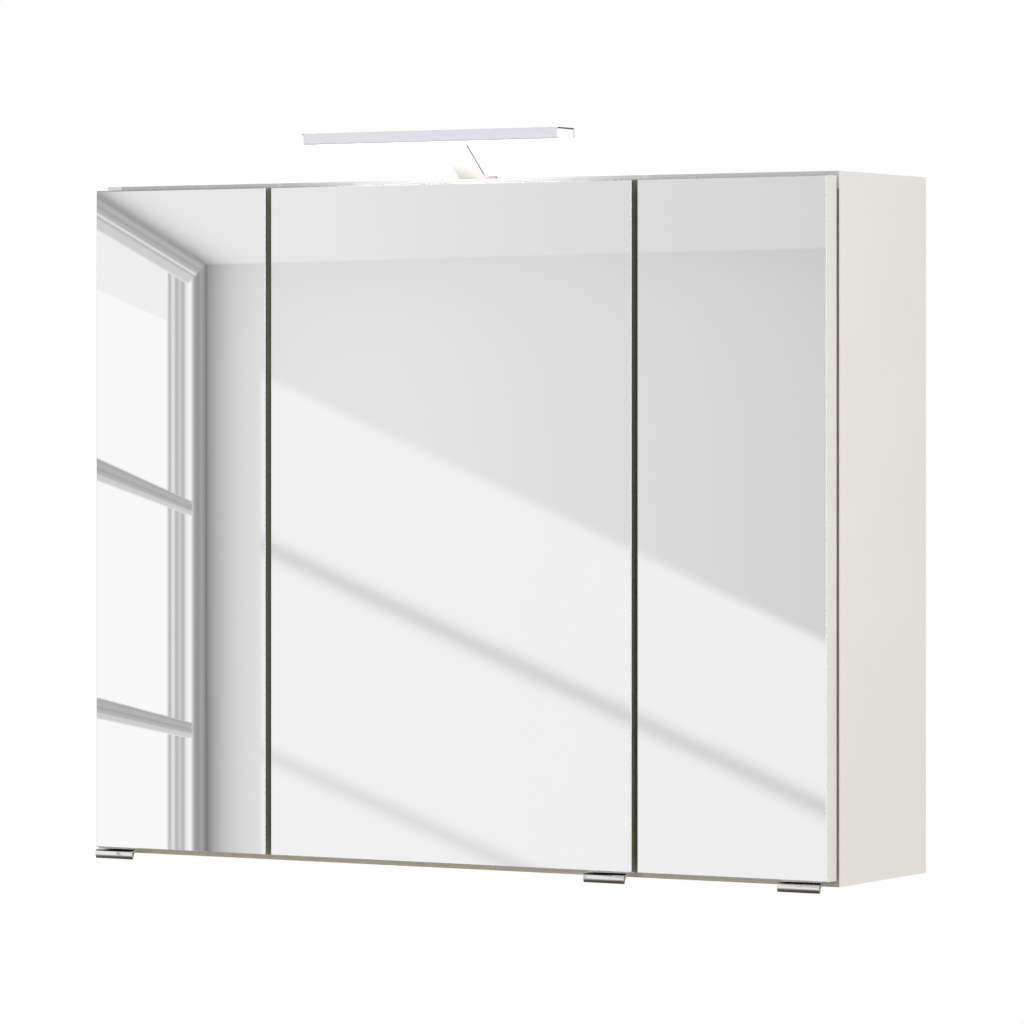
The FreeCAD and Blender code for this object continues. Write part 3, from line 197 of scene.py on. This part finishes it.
def circuit_strip():
    """Light strip: yellow phosphor on each diode, and the white solder mask above them, with
    a sharp line between."""
    material = surface("solder_mask_and_phosphor", 2.0, ("#E8D05A",), (0.3, 0.45))
    changed_above(material, 0.6876, 0.687601, ("#EEF0EA",))
    return material


FINISHES = {
    # Melamine-faced chipboard, pressed against a pearl plate: a soft sheen with a faint grain of
    # 1 mm pits, drawn at 2 mm to show.
    "white_board": surface("melamine_faced_chipboard_white", 2.0, ("#F5F2ED", "#F3F0EB"),
                           (0.4, 0.5), detail=3.0, clear=True, cloud=90.0, depth=0.02, IOR=1.5),
    # Hardboard, lacquered on one side: short fibres of about 3 mm show as faint streaks.
    "white_hardboard": surface("lacquered_hardboard_white", 3.0, ("#E9E5DD", "#F0EEE8"),
                               (0.5, 0.62), detail=4.0, stretch=(2.5, 1, 1), clear=True,
                               depth=0.06),
    # Silvered float glass, polished: a clean reflection, with a haze far too faint to blur it.
    "silvered_glass": surface("silvered_float_glass", 60.0, ("#FDFDFD", "#FEFEFE"), (0.0, 0.012),
                              Metallic=1.0),
    # Chromium plate over a polished zinc casting: mirror bright, with a faint casting swell.
    "chrome": surface("chromium_plated_zinc", 14.0, ("#F1F1EF",), (0.04, 0.08), depth=0.004,
                      Metallic=1.0),
    # Pressed steel, nickel plated in a barrel: bright but soft, with fine tumbling marks.
    "plated_steel": surface("nickel_plated_steel", 1.6, ("#C4C0B8", "#D6D3CC"), (0.2, 0.36),
                            detail=4.0, clear=True, depth=0.015, Metallic=1.0),
    # Raw zinc die casting: dull grey with a flow pattern of about 5 mm.
    "zinc": surface("zinc_die_casting", 5.0, ("#A9ABAC", "#C0C2C3"), (0.34, 0.5), detail=4.0,
                    clear=True, depth=0.04, Metallic=1.0),
    # Turned beech dowels: straight grain along x with small darker flecks.
    "beech": surface("beech_turned", 0.9, ("#C79F6E", "#DDBB8C"), 0.6, detail=4.0,
                     stretch=(9, 1, 1), clear=True, depth=0.05),
    # Clear float glass, 5 mm: sees through with a pale green cast.
    "clear_glass": surface("clear_float_glass", 40.0, ("#EDF6F0",), (0.0, 0.015), IOR=1.52,
                           Transmission_Weight=1.0),
    # White powder coat on the lamp: a very fine orange peel of 1.5 mm.
    "lamp_white": surface("powder_coated_steel_white", 1.5, ("#D8D7E0",), (0.3, 0.38), detail=1.0,
                          depth=0.03, IOR=1.5),
    "opal_plastic": opal_acrylic(),
    # Moulded ABS, white: spark-eroded texture of 0.5 mm, drawn at 1 mm.
    "white_plastic": surface("moulded_abs_white", 1.0, ("#F4F4F2",), (0.32, 0.46), depth=0.02,
                             IOR=1.53),
    # Anodised aluminium strip, extruded: fine die lines along x.
    "aluminium": surface("anodised_aluminium", 0.8, ("#B9BBBD", "#CFD1D2"), (0.26, 0.4),
                         detail=3.0, stretch=(60, 1, 1), clear=True, depth=0.02, Metallic=1.0),
    "circuit_strip": circuit_strip(),
    # Moulded rubber, grey: matt with a dusting of bloom.
    "grey_rubber": surface("moulded_rubber_grey", 3.0, ("#6F7072", "#808184"), (0.6, 0.75),
                           detail=3.0, clear=True, depth=0.04),
    # Cast polyurethane bumper: clear, slightly milky, glossy dome.
    "clear_rubber": surface("cast_polyurethane_clear", 2.0, ("#E6E8E6", "#F2F3F1"), 0.12, IOR=1.5,
                            Transmission_Weight=0.6),
}
# Arris of the mirror: ground glass, satin, that catches the light as a fine line.
ARRIS = surface("ground_glass_arris", 0.8, ("#F0F3EE", "#FCFDFA"), (0.22, 0.34), depth=0.02,
                Metallic=0.7, IOR=1.52)
# Seamed edge of float glass: deep olive green, partly the glass's own green and partly painted
# shade of the narrow gaps between the doors.
GLASS_EDGE = surface("float_glass_edge", 1.2, ("#6E776A", "#8D9688"), (0.12, 0.3),
                     stretch=(1, 1, 10), depth=0.03, IOR=1.52)
# Painted light: a pale copy of the glass edge for the doors' outer edges, where light falls;
# whitish, with a trace of green.
LIT_GLASS_EDGE = surface("float_glass_edge_painted_light", 1.2, ("#E9EFE6", "#F6F9F3"), (0.3, 0.42),
                    stretch=(1, 1, 10), depth=0.02, IOR=1.52)
# Two coats of grey backing paint over the silver.
BACKING = surface("mirror_backing_paint", 4.0, ("#6D7072", "#7A7D7F"), 0.55, detail=3.0, depth=0.04)
# Polished edge of the glass shelf: sea green.
SHELF_EDGE = surface("polished_glass_edge", 2.0, ("#6FA38F", "#93BFAE"), (0.08, 0.2),
                     stretch=(8, 1, 1), IOR=1.52)
# ABS edge banding on the door boards: a little smoother than the faces.
BANDING = surface("abs_edge_banding_white", 1.5, ("#F4F2ED",), (0.28, 0.42), stretch=(1, 1, 12),
                  depth=0.02, IOR=1.53)
FRONT_EDGE_SHADE = front_edge_painted_shade()
# Painted shade where two doors meet: the meeting edges are dark olive grey for the shade in
# the gaps, so the joints read as lines.
MEETING_EDGE_SHADE = surface("meeting_edge_painted_shade_olive", 1.5, ("#8B8B72", "#9B9A84"), (0.5, 0.62),
                       stretch=(1, 1, 12), depth=0.02)
SHADOW_LINE_EDGE = painted_shadow_line()
# Stove enamel on the lamp arm: thick, white and smooth; its faint glow is painted lamp light.
# thick, white and smooth, and it glows a little under the lamp.
ARM_WHITE_GLOW = surface("stove_enamel_white_painted_glow", 3.0, ("#F6F6F6",), (0.3, 0.4), detail=1.0, depth=0.02,
                    IOR=1.5, Emission_Color=linear("#FFFFFF"), Emission_Strength=0.1)
# White ABS, its glow painted light for the lamp shining into it, so it is as bright as the
# diffuser.
END_CAP_GLOW = surface("translucent_abs_white_painted_glow", 1.0, ("#FAFAF8",), (0.3, 0.42), IOR=1.53,
                  Emission_Color=linear("#FFFFFF"), Emission_Strength=0.35)

SLOT_OF = {name: cad.material_slots[0].material.name.split(".")[0]
           for name, cad in NODES.items()}
for name, cad in NODES.items():
    cad.material_slots[0].material = FINISHES[SLOT_OF[name]]


# ---------------------------------------------------------------- making pieces

def piece_from(name, vertices, faces, finishes, bands=None, smooth=True):
    """A new mesh object at the origin from whole arrays; bands gives each face's finish."""
    mesh = bpy.data.meshes.new(name)
    mesh.from_pydata(vertices, [], faces)
    for finish in finishes:
        mesh.materials.append(finish)
    if bands is not None:
        mesh.polygons.foreach_set("material_index", np.asarray(bands, np.int32))
    mesh.polygons.foreach_set("use_smooth", np.full(len(mesh.polygons), smooth))
    mesh.update()
    made = bpy.data.objects.new(name, mesh)
    bpy.context.scene.collection.objects.link(made)
    return made


def joined(piece, node):
    """The piece stands for a CAD node, which is hidden, and rides on its body."""
    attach(piece, NODES[node]["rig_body"])
    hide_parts(node)


def loft(rings):
    """Faces of a closed loft: rings is (ring, point, xyz). Quads join each ring to the next,
    and one face closes each end. Returns vertices, faces and each face's ring number."""
    count, points = rings.shape[:2]
    ring, point = np.meshgrid(np.arange(count - 1), np.arange(points), indexing="ij")
    after = (point + 1) % points
    quads = np.stack([ring * points + point, ring * points + after,
                      (ring + 1) * points + after, (ring + 1) * points + point], -1)
    faces = quads.reshape(-1, 4).tolist()
    bands = ring.reshape(-1).tolist()
    faces += [list(range(points))[::-1], list(range((count - 1) * points, count * points))]
    return rings.reshape(-1, 3), faces, bands + [-1, count - 1]


def facing_out(piece):
    """Turns every face outwards."""
    form = bmesh.new()
    form.from_mesh(piece.data)
    bmesh.ops.recalc_face_normals(form, faces=form.faces)
    form.to_mesh(piece.data)
    form.free()
    return piece


def rounded_rectangle(low, high, corner, inset, steps=5):
    """Outline of a rectangle with round corners, drawn in by inset: each corner is a quarter
    circle of radius corner - inset about the same centre."""
    turn = np.linspace(0, math.pi / 2, steps)
    quarter = np.concatenate([turn + k * math.pi / 2 for k in range(4)])
    left, right = low[0] + corner, high[0] - corner
    bottom, top = low[1] + corner, high[1] - corner
    centre_u = np.repeat([right, left, left, right], steps)
    centre_v = np.repeat([top, top, bottom, bottom], steps)
    radius = corner - inset
    return np.stack([centre_u + radius * np.cos(quarter), centre_v + radius * np.sin(quarter)], -1)


def plate(name, box, axis, corner, section, finishes, band_of):
    """A flat plate: rounded rectangles stacked along an axis. Section lists (inset, share of
    the thickness from the low side); band_of gives the finish of each band and of both ends."""
    low, high = np.array(box[0]), np.array(box[1])
    flat = [k for k in range(3) if k != axis]
    rings = []
    for inset, share in section:
        outline = rounded_rectangle(low[flat], high[flat], corner, inset)
        ring = np.empty((len(outline), 3))
        ring[:, flat] = outline
        ring[:, axis] = low[axis] + share * (high[axis] - low[axis])
        rings.append(ring)
    vertices, faces, bands = loft(np.array(rings))
    made = piece_from(name, vertices, faces, finishes, [band_of[b] for b in bands], smooth=False)
    return facing_out(made)


# Points nearer than this, in metres, are one, and faces within this angle are one flat face.
SAME_POINT, SAME_PLANE = 1e-6, math.radians(0.4)
# An edge sharper than this is broken, and a face this near to a direction looks that way.
SHARP, LOOKS_THAT_WAY = math.radians(40), 0.95


def eased(node, name, width, segments=2, finish=None, accent=None):
    """A CAD piece with its edges broken by a small bevel, width in mm: the mesh's doubles are
    merged and its coplanar triangles joined first, so the bevel follows only real edges. Accent
    is a finish and a list of directions: faces that look that way take it."""
    form = bmesh.new()
    form.from_mesh(NODES[node].data)
    bmesh.ops.remove_doubles(form, verts=form.verts, dist=SAME_POINT)
    bmesh.ops.dissolve_limit(form, angle_limit=SAME_PLANE, verts=form.verts, edges=form.edges)
    mesh = bpy.data.meshes.new(name)
    form.to_mesh(mesh)
    form.free()
    mesh.materials.append(finish or FINISHES[SLOT_OF[node]])
    count = len(mesh.polygons)
    mesh.polygons.foreach_set("use_smooth", np.ones(count, bool))
    if accent:
        accent_finish, directions = accent
        mesh.materials.append(accent_finish)
        normals = np.empty(count * 3)
        mesh.polygons.foreach_get("normal", normals)
        toward = normals.reshape(-1, 3) @ np.array(directions, float).T
        facing = toward.max(1) > LOOKS_THAT_WAY
        mesh.polygons.foreach_set("material_index", facing.astype(np.int32))
    made = bpy.data.objects.new(name, mesh)
    bpy.context.scene.collection.objects.link(made)
    bevel = made.modifiers.new("broken_edges", "BEVEL")
    bevel.width = width * MM
    bevel.segments = segments
    bevel.limit_method = "ANGLE"
    bevel.angle_limit = SHARP
    bevel.use_clamp_overlap = True
    bevel.harden_normals = True
    joined(made, node)


# ---------------------------------------------------------------- doors

DOORS = ("left", "centre", "right")
# Section of a mirror from its face to its back: arris, edge, small rear arris. Each band and
# both ends take a finish of MIRROR_FINISHES by its place there.
MIRROR_SECTION = [(0.9 * MM, 0.0), (0.1 * MM, 0.2), (0.0, 0.26), (0.0, 0.94), (0.2 * MM, 1.0)]
MIRROR_FINISHES = [FINISHES["silvered_glass"], ARRIS, GLASS_EDGE, BACKING, LIT_GLASS_EDGE]
MIRROR_BANDS = {-1: 0, 0: 1, 1: 1, 2: 2, 3: 2, 4: 3}
MIRROR_CORNER = 1.2 * MM
# The glass's outer edges, further out than this in metres, take the pale glass edge: painted
# light.
OUTER_EDGE = 0.396

# Directions in which each door meets its neighbour.
MEETING = {"left": [(1, 0, 0)], "centre": [(1, 0, 0), (-1, 0, 0)], "right": [(-1, 0, 0)]}


def centres_of(piece):
    """Middle of every face."""
    found = np.empty(len(piece.data.polygons) * 3)
    piece.data.polygons.foreach_get("center", found)
    return found.reshape(-1, 3)


for side in DOORS:
    glass = plate("mirror_glass_" + side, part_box("mirror_" + side), 1, MIRROR_CORNER,
                  MIRROR_SECTION, MIRROR_FINISHES, MIRROR_BANDS)
    finish = np.empty(len(glass.data.polygons), np.int32)
    glass.data.polygons.foreach_get("material_index", finish)
    # The outer edges of the glass take the pale edge, painted light where light falls on them.
    outer = np.abs(centres_of(glass)[:, 0]) > OUTER_EDGE
    finish[outer & (finish == MIRROR_FINISHES.index(GLASS_EDGE))] = MIRROR_FINISHES.index(LIT_GLASS_EDGE)
    glass.data.polygons.foreach_set("material_index", finish)
    joined(glass, "mirror_" + side)
    # The boards' meeting edges take painted shade of the gaps between the doors.
    eased("door_board_" + side, "banded_door_board_" + side, 0.6, 3, finish=BANDING,
          accent=(MEETING_EDGE_SHADE, MEETING[side]))

# ---------------------------------------------------------------- boards and metal

# The front edges take painted shade of the gaps behind the doors; the left side panel's stays
# plain.
for node in ("side_panel_right", "bottom_board", "partition_left", "partition_right",
             "top_board"):
    eased(node, "banded_" + node, 0.5, 3, accent=(FRONT_EDGE_SHADE, [(0, -1, 0)]))
eased("side_panel_left", "banded_side_panel_left", 0.5, 3)

for node, width in (("lamp_housing", 0.3), ("lamp_diffuser", 0.3), ("switch_box_housing", 0.8),
                    ("switch_box_cover", 0.6), ("rocker_switch", 0.5), ("socket_insert", 0.3)):
    eased(node, "moulded_" + node, width)
# The arm's side edges, facing along x, take painted shadow lines.
eased("lamp_arm", "folded_lamp_arm", 0.3, finish=ARM_WHITE_GLOW,
      accent=(SHADOW_LINE_EDGE, [(1, 0, 0), (-1, 0, 0)]))


def lamp_caps():
    """A thin plate closes each end of the lamp, with a painted shadow line, dark grey, along its
    top and rear. Its outer edge is drawn in by 0.5 mm."""
    rim_width, corner = 1.4 * MM, 1.6 * MM
    low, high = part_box("lamp_end_caps")
    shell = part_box("lamp_housing")
    section = [(1.5 * MM, 0.0), (0.5 * MM, 0.0), (0.0, 0.3), (0.0, 1.0)]
    for side, near, far in (("right", shell[1][0], high[0]), ("left", low[0], shell[0][0])):
        box = ((near, low[1], low[2]), (far, high[1], high[2]))
        order = [(inset, 1 - share if side == "right" else share) for inset, share in section]
        cap = plate("lamp_end_cap_" + side, box, 0, corner, order, [END_CAP_GLOW, SHADOW_LINE_EDGE],
                    dict.fromkeys(range(-1, len(section)), 0))
        centres = centres_of(cap)
        rim = (centres[:, 2] > high[2] - rim_width) | (centres[:, 1] > high[1] - rim_width)
        cap.data.polygons.foreach_set("material_index", rim.astype(np.int32))
        joined(cap, "lamp_end_caps")


lamp_caps()


def glass_shelves(side):
    """Two 5 mm glass shelves behind a door: clear faces and a polished, greenish edge that
    rounds over as a half circle flattened to 1 mm."""
    low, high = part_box("glass_shelves_" + side)
    thick, corner = 5 * MM, 2.5 * MM
    section = [(1.0 * MM, 0.0), (0.3 * MM, 0.12), (0.0, 0.35), (0.0, 0.65), (0.3 * MM, 0.88),
               (1.0 * MM, 1.0)]
    for level, base in (("lower", low[2]), ("upper", high[2] - thick)):
        box = ((low[0], low[1], base), (high[0], high[1], base + thick))
        shelf = plate("glass_shelf_" + side + "_" + level, box, 2, corner, section,
                      [FINISHES["clear_glass"], SHELF_EDGE],
                      {-1: 0, 0: 1, 1: 1, 2: 1, 3: 1, 4: 1, 5: 0})
        joined(shelf, "glass_shelves_" + side)


for side in DOORS:
    glass_shelves(side)


# ---------------------------------------------------------------- finger pulls

def softened(points, passes):
    """A closed outline with its corners cut: each pass puts points at a quarter and at three
    quarters of every side."""
    for _ in range(passes):
        after = np.roll(points, -1, 0)
        points = np.stack([0.75 * points + 0.25 * after, 0.25 * points + 0.75 * after],
                          1).reshape(-1, 2)
    return points


def drawn_in(points, distance):
    """A closed outline moved inwards along its own normals."""
    along = np.roll(points, -1, 0) - np.roll(points, 1, 0)
    along = along / np.linalg.norm(along, axis=1, keepdims=True)
    after = np.roll(points, -1, 0)
    area = np.sum(points[:, 0] * after[:, 1] - after[:, 0] * points[:, 1])
    return points + np.stack([-along[:, 1], along[:, 0]], -1) * distance * np.sign(area)


def finger_pull(side):
    """A cast pull under the door: its outline (y, z) is carried along x, and drawn in at both
    ends so the ends are round. The nose bulges as a parabola: its line steps back by bulge
    times the square of the height over half its height. All sizes here are in mm."""
    thick, bulge, half = 2.5, 1.3, 4.6
    low, high = (np.array(corner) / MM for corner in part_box("handle_" + side))
    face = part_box("mirror_" + side)[0][1] / MM
    tip, rear, top, foot = low[1], high[1], high[2], low[2]
    height = np.linspace(top - 2.2, foot + 0.9, 7)
    nose = tip + bulge * ((height - (top + foot) / 2) / half) ** 2
    outline = [(rear, top), (rear, top), (face + 0.6, top), (face, top), (face - 2.6, top - 0.9)]
    outline += list(zip(nose, height))
    outline += [(tip + 1.4, foot), (tip + 2.4, foot), (tip + 3.0, foot + 1.6),
                (tip + 4.2, top - 5.0), (tip + 6.4, top - 2.9), (face + 3.0, top - thick),
                (rear, top - thick), (rear, top - thick)]
    outline = softened(np.array(outline), 2)
    ends = [(0.0, 0.45), (0.06, 0.26), (0.16, 0.12), (0.3, 0.03), (0.45, 0.0)]
    stations = [(low[0] + x, inset) for x, inset in ends]
    stations += [(high[0] - x, inset) for x, inset in ends[::-1]]
    rings = []
    for x, inset in stations:
        ring = drawn_in(outline, inset)
        rings.append(np.column_stack([np.full(len(ring), x), ring]))
    vertices, faces, _ = loft(np.array(rings) * MM)
    pull = facing_out(piece_from("finger_pull_" + side, vertices, faces, [FINISHES["chrome"]]))
    for end in list(pull.data.polygons)[-2:]:
        end.use_smooth = False
    joined(pull, "handle_" + side)


for side in DOORS:
    finger_pull(side)


# ---------------------------------------------------------------- room seen in the mirrors

CAMERA = np.array([2.677, -4.707, 0.445])
MIRROR_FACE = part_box("mirror_centre")[0][1]
# The card's y. A ray that goes from the camera to the mirrors and back to the card spreads this
# much wider than at the mirrors.
CARD_AT = -2.4
SPREAD = (2 * MIRROR_FACE - CARD_AT - CAMERA[1]) / (MIRROR_FACE - CAMERA[1])


def line_height(x, start, end):
    """Height of the straight line through two points."""
    return start[1] + (x - start[0]) * (end[1] - start[1]) / (end[0] - start[0])


def step(distance, soft=0.6):
    """0 below an edge and 1 above it, over a soft width."""
    share = np.clip(distance / soft + 0.5, 0, 1)
    return share * share * (3 - 2 * share)


def over(tone, value, mask):
    """Value laid over tone where mask is 1."""
    return tone + (value - tone) * mask


def member(tone, x, z, top, bottom, shades, mask):
    """A rail of the window: shades are spread evenly from its top line to its bottom line."""
    high, low = line_height(x, *top), line_height(x, *bottom)
    share = (high - z) / (high - low)
    value = np.interp(share, np.linspace(0, 1, len(shades)), shades)
    return over(tone, value, mask * step(high - z) * step(z - low))


# Greys of white painted wood, from a face in full light to the deepest groove.
LIT, PALE, FLAT, SHADED, GROOVE, DEEP, DARK = 250, 234, 207, 180, 165, 146, 120
# The window's casing from the pane to the room's corner: width in mm and grey of each band.
CASING = ((2, LIT), (4, SHADED), (5, PALE), (2, SHADED), (6, FLAT), (2, SHADED), (5, PALE),
          (5, LIT), (4, GROOVE), (4, DEEP), (4, GROOVE), (3, DEEP), (2, DARK))
# Its head and its rails, from top to bottom in equal bands.
HEAD = (DEEP, GROOVE, SHADED, SHADED, GROOVE, SHADED, SHADED, PALE, SHADED, FLAT, FLAT, FLAT,
        FLAT, PALE)
RAIL = (FLAT, GROOVE, SHADED, SHADED, SHADED, GROOVE, SHADED, SHADED, FLAT, FLAT, FLAT, PALE)


def casing_tone(x, corner):
    """Grey across the casing: straight slopes from the middle of each band to the next."""
    widths = np.array([width for width, _ in CASING], float)
    middles = corner - widths.sum() + np.cumsum(widths) - widths / 2
    return np.interp(x, middles, [grey for _, grey in CASING])


# Lines of the room on the mirror plane, each from one point (x, z) to another, in mm.
CORNER = -269.5
CEILING_LEFT = ((-398, 642), (-270, 572))
CEILING_RIGHT = ((-270, 572.5), (398, 579.5))
LIGHT_EDGE = ((-195.3, 461), (397.8, 223.5))
HEAD_FOOT = ((-398, 607.5), (-314.5, 565.2))
HEAD_MITRE = ((-285.5, 559.5), (-270.5, 572.5))
PANE_TOP = ((-398, 549.5), (-315.6, 518.2))
RAILS = ((((-398, 385.5), (-284.8, 343.2)), ((-398, 363), (-284.8, 329))),
         (((-398, 152), (-284.8, 130)), ((-398, 131), (-284.8, 114.5))))
# Where the light starts, and where the pane and its rails end.
LIGHT_FROM, PANE_TO, RAILS_TO = -207, -316.5, -286.5
# Two soft shadows across the light: line, depth as a grey, and width in mm.
SHADOWS = ((((-195.3, 298.3), (397.8, 72.5)), 27, 10), (((-195.3, 100.3), (2.8, 31.6)), 18, 9))


def room_tone(x, z):
    """Grey of a bright bathroom, 0 to 255, at a point of the mirror plane in mm: a ceiling, a
    wall with light falling on it along a slope, and on the left a wall with a tall window."""
    ceiling_left = line_height(x, *CEILING_LEFT)
    ceiling_right = line_height(x, *CEILING_RIGHT)
    # far wall: darker into the corner, a little darker right under the ceiling
    off = np.maximum(x - CORNER, 0)
    fall = np.clip((560 - z) / 550, 0, 1)
    wall = 230 - 19 * np.clip((x + 60) / 460, 0, 1) ** 1.3
    wall = wall - 80 * np.exp(-off / 23) - 24 * fall * np.exp(-off / 6)
    wall = wall - 8 * np.exp(-np.maximum(ceiling_right - z, 0) / 40)
    # light from the window on the far wall, below a sloping line, with two soft shadows
    lit = step(line_height(x, *LIGHT_EDGE) - z, 15) * step(x - LIGHT_FROM, 9)
    patch = 242.5 - 2.5 * np.clip((x + 200) / 600, 0, 1)
    for line, depth, width in SHADOWS:
        patch = patch - depth * np.exp(-((z - line_height(x, *line)) / width) ** 2)
    wall = over(wall, patch, lit)
    # ceiling: bright, darker towards the window wall
    above = np.maximum(z - ceiling_left, 0)
    ceiling = 234 - 26 * np.clip((x + 180) / 780, 0, 1) - 85 * np.exp(-above / 9.6)
    tone = over(wall, ceiling, step(z - ceiling_right, 2.5))
    # window wall: the casing beside the pane, its head, and two rails across the pane
    left = casing_tone(x, CORNER + 0.5)
    left = over(left, 240, step(z - line_height(x, *PANE_TOP), 3) * step(PANE_TO - x, 2))
    left = member(left, x, z, CEILING_LEFT, HEAD_FOOT, HEAD,
                  step(z - line_height(x, *HEAD_MITRE), 1.2))
    for top, bottom in RAILS:
        left = member(left, x, z, top, bottom, RAIL, step(RAILS_TO - x, 3))
    left_ceiling = over(left, ceiling, step(z - ceiling_left, 2.5))
    return np.clip(over(tone, left_ceiling, step(CORNER - x, 1.5)), 0, 255)


# Grid lines of the card in mm, as (from, to, step): fine across the window, coarse outside.
ACROSS = ((-2200, -400, 60), (-400, -190, 0.9), (-190, 400, 5), (400, 1600, 12))
UPWARD = ((-480, 0, 8), (0, 650, 0.95), (650, 908, 8))


def grid_lines(spans):
    """Places of grid lines: even steps along each span, without doubles."""
    return np.unique(np.round(np.concatenate([np.arange(*span) for span in spans]), 3))


def room_card():
    """The room as a glowing card behind the camera, seen by polished surfaces only. A point
    (x, z) of the mirror plane lies at SPREAD times its distance from the camera's axis."""
    x, z = grid_lines(ACROSS), grid_lines(UPWARD)
    grid_x, grid_z = np.meshgrid(x, z, indexing="ij")
    tone = room_tone(grid_x, grid_z) / 255
    glow = np.where(tone <= 0.04045, tone / 12.92, ((tone + 0.055) / 1.055) ** 2.4)
    card_x = CAMERA[0] + (grid_x * MM - CAMERA[0]) * SPREAD
    card_z = CAMERA[2] + (grid_z * MM - CAMERA[2]) * SPREAD
    points = np.stack([card_x, np.full_like(card_x, CARD_AT), card_z], -1).reshape(-1, 3)
    rows, columns = len(x), len(z)
    i, j = np.meshgrid(np.arange(rows - 1), np.arange(columns - 1), indexing="ij")
    first = i * columns + j
    faces = np.stack([first, first + 1, first + columns + 1, first + columns], -1).reshape(-1, 4)
    material, tree = new_material("painted_room_backdrop")
    shade = add_node(tree, "Attribute", attribute_name="room_tone").outputs["Color"]
    light = add_node(tree, "Emission", {"Color": shade, "Strength": 1.0})
    add_node(tree, "OutputMaterial", {"Surface": light.outputs[0]})
    card = piece_from("room_card", points, faces.tolist(), [material])
    colours = card.data.color_attributes.new("room_tone", "FLOAT_COLOR", "POINT")
    rgba = np.ones((points.shape[0], 4), np.float32)
    rgba[:, :3] = glow.reshape(-1, 1)
    colours.data.foreach_set("color", rgba.ravel())
    card.visible_camera = False
    card.visible_diffuse = False
    card.visible_transmission = False
    card.visible_shadow = False
    card.visible_volume_scatter = False


room_card()


# ---------------------------------------------------------------- studio

def floor():
    """A plain pale floor, 1.25 m under the cabinet."""
    half, level = 4.0, -1.25
    material = surface("matt_floor_pale", 400.0, ("#E4E3E1", "#E9E8E6"), 0.8)
    corners = [(x * half, y * half, level) for x, y in ((-1, -1), (1, -1), (1, 1), (-1, 1))]
    ground = piece_from("floor", corners, [(0, 1, 2, 3)], [material], smooth=False)
    ground.visible_glossy = False


def soft_light(name, place, aim, size, power):
    """A square area light at a place, turned towards a point."""
    lamp = bpy.data.lights.new(name, "AREA")
    lamp.shape = "SQUARE"
    lamp.size = size
    lamp.energy = power
    made = bpy.data.objects.new(name, lamp)
    bpy.context.scene.collection.objects.link(made)
    made.location = place
    toward = np.array(aim) - np.array(place)
    made.rotation_euler = (math.atan2(math.hypot(toward[0], toward[1]), -toward[2]), 0,
                           math.atan2(toward[0], -toward[1]) + math.pi)
    made.visible_glossy = False


def studio_world():
    """Plain white round the object to the camera, soft light for surfaces, and for polished
    metal a room that is darker low down, dark overhead, and grey behind the wall. The ramp
    runs from straight down, 0, to straight up, 1."""
    world = bpy.data.worlds.new("studio")
    bpy.context.scene.world = world
    world.use_nodes = True
    tree = world.node_tree
    tree.nodes.clear()
    paths = add_node(tree, "LightPath")
    way = add_node(tree, "SeparateXYZ", {"Vector": add_node(tree, "TexCoord").outputs["Generated"]})
    upward = add_node(tree, "MapRange", {"Value": way.outputs["Z"], "From Min": -1.0,
                                         "From Max": 1.0}).outputs[0]
    ramp = add_node(tree, "ValToRGB", {"Fac": upward})
    shades = ((0.14, "#4A463E"), (0.22, "#65615A"), (0.28, "#A9A69F"), (0.34, "#DAD8D4"),
              (0.4, "#F0F0EE"), (0.56, "#FAFAF8"), (0.72, "#F2F2F0"), (0.745, "#161616"),
              (0.93, "#202020"), (0.97, "#FFFFFF"))
    for place, shade in shades:
        stop = ramp.color_ramp.elements.new(place)
        stop.color = linear(shade)
    for end in (ramp.color_ramp.elements[0], ramp.color_ramp.elements[-1]):
        end.color = linear("#4A463E" if end.position < 0.5 else "#FFFFFF")
    behind = add_node(tree, "MapRange", {"Value": way.outputs["Y"], "From Min": 0.2,
                                         "From Max": 0.5}).outputs[0]
    seen = add_node(tree, "Mix", {0: behind, 6: ramp.outputs["Color"], 7: linear("#8A877F")},
                    data_type="RGBA").outputs[2]
    soft = add_node(tree, "Background", {"Color": linear("#FFFEFB"), "Strength": 0.42})
    gloss = add_node(tree, "Background", {"Color": seen, "Strength": 1.0})
    plain = add_node(tree, "Background", {"Color": linear("#FFFFFF"), "Strength": 1.0})
    first = add_node(tree, "MixShader", {0: paths.outputs["Is Glossy Ray"], 1: soft.outputs[0],
                                         2: gloss.outputs[0]})
    last = add_node(tree, "MixShader", {0: paths.outputs["Is Camera Ray"], 1: first.outputs[0],
                                        2: plain.outputs[0]})
    add_node(tree, "OutputWorld", {"Surface": last.outputs[0]})


# Area lights: place and aim in metres, width in metres and power in watts.
LIGHTS = {
    "side": ((3.2, 0.4, 0.6), (0.4, -0.1, 0.32), 2.0, 41),
    "front": ((0.1, -3.0, 1.0), (0.1, -0.2, 0.4), 1.2, 14),
    "front_low": ((0.1, -2.2, -0.7), (0.1, -0.2, 0.6), 1.0, 24),
    "top_front": ((0.1, -1.6, 2.6), (0.1, -0.2, 0.6), 1.2, 14),
    "left_side": ((-3.2, 0.2, 0.9), (-0.4, -0.1, 0.32), 1.6, 14),
}

floor()
studio_world()
for name, (place, aim, size, power) in LIGHTS.items():
    soft_light(name, place, aim, size, power)
bpy.context.scene.view_settings.view_transform = "Standard"

# The camera stands level, turned to its left by TURN degrees. Its lens and sensor are in mm,
# and the shift, a share of the sensor's width, moves its view down to the cabinet.
LENS, SENSOR, SHIFT, TURN = 196.1, 36.0, -0.1126, 30.06
camera_data = bpy.data.cameras.new("camera")
camera_data.lens = LENS
camera_data.sensor_width = SENSOR
camera_data.shift_y = SHIFT
camera = bpy.data.objects.new("camera", camera_data)
camera.location = CAMERA
camera.rotation_euler = (math.radians(90), 0, math.radians(TURN))
bpy.context.scene.collection.objects.link(camera)
bpy.context.scene.camera = camera
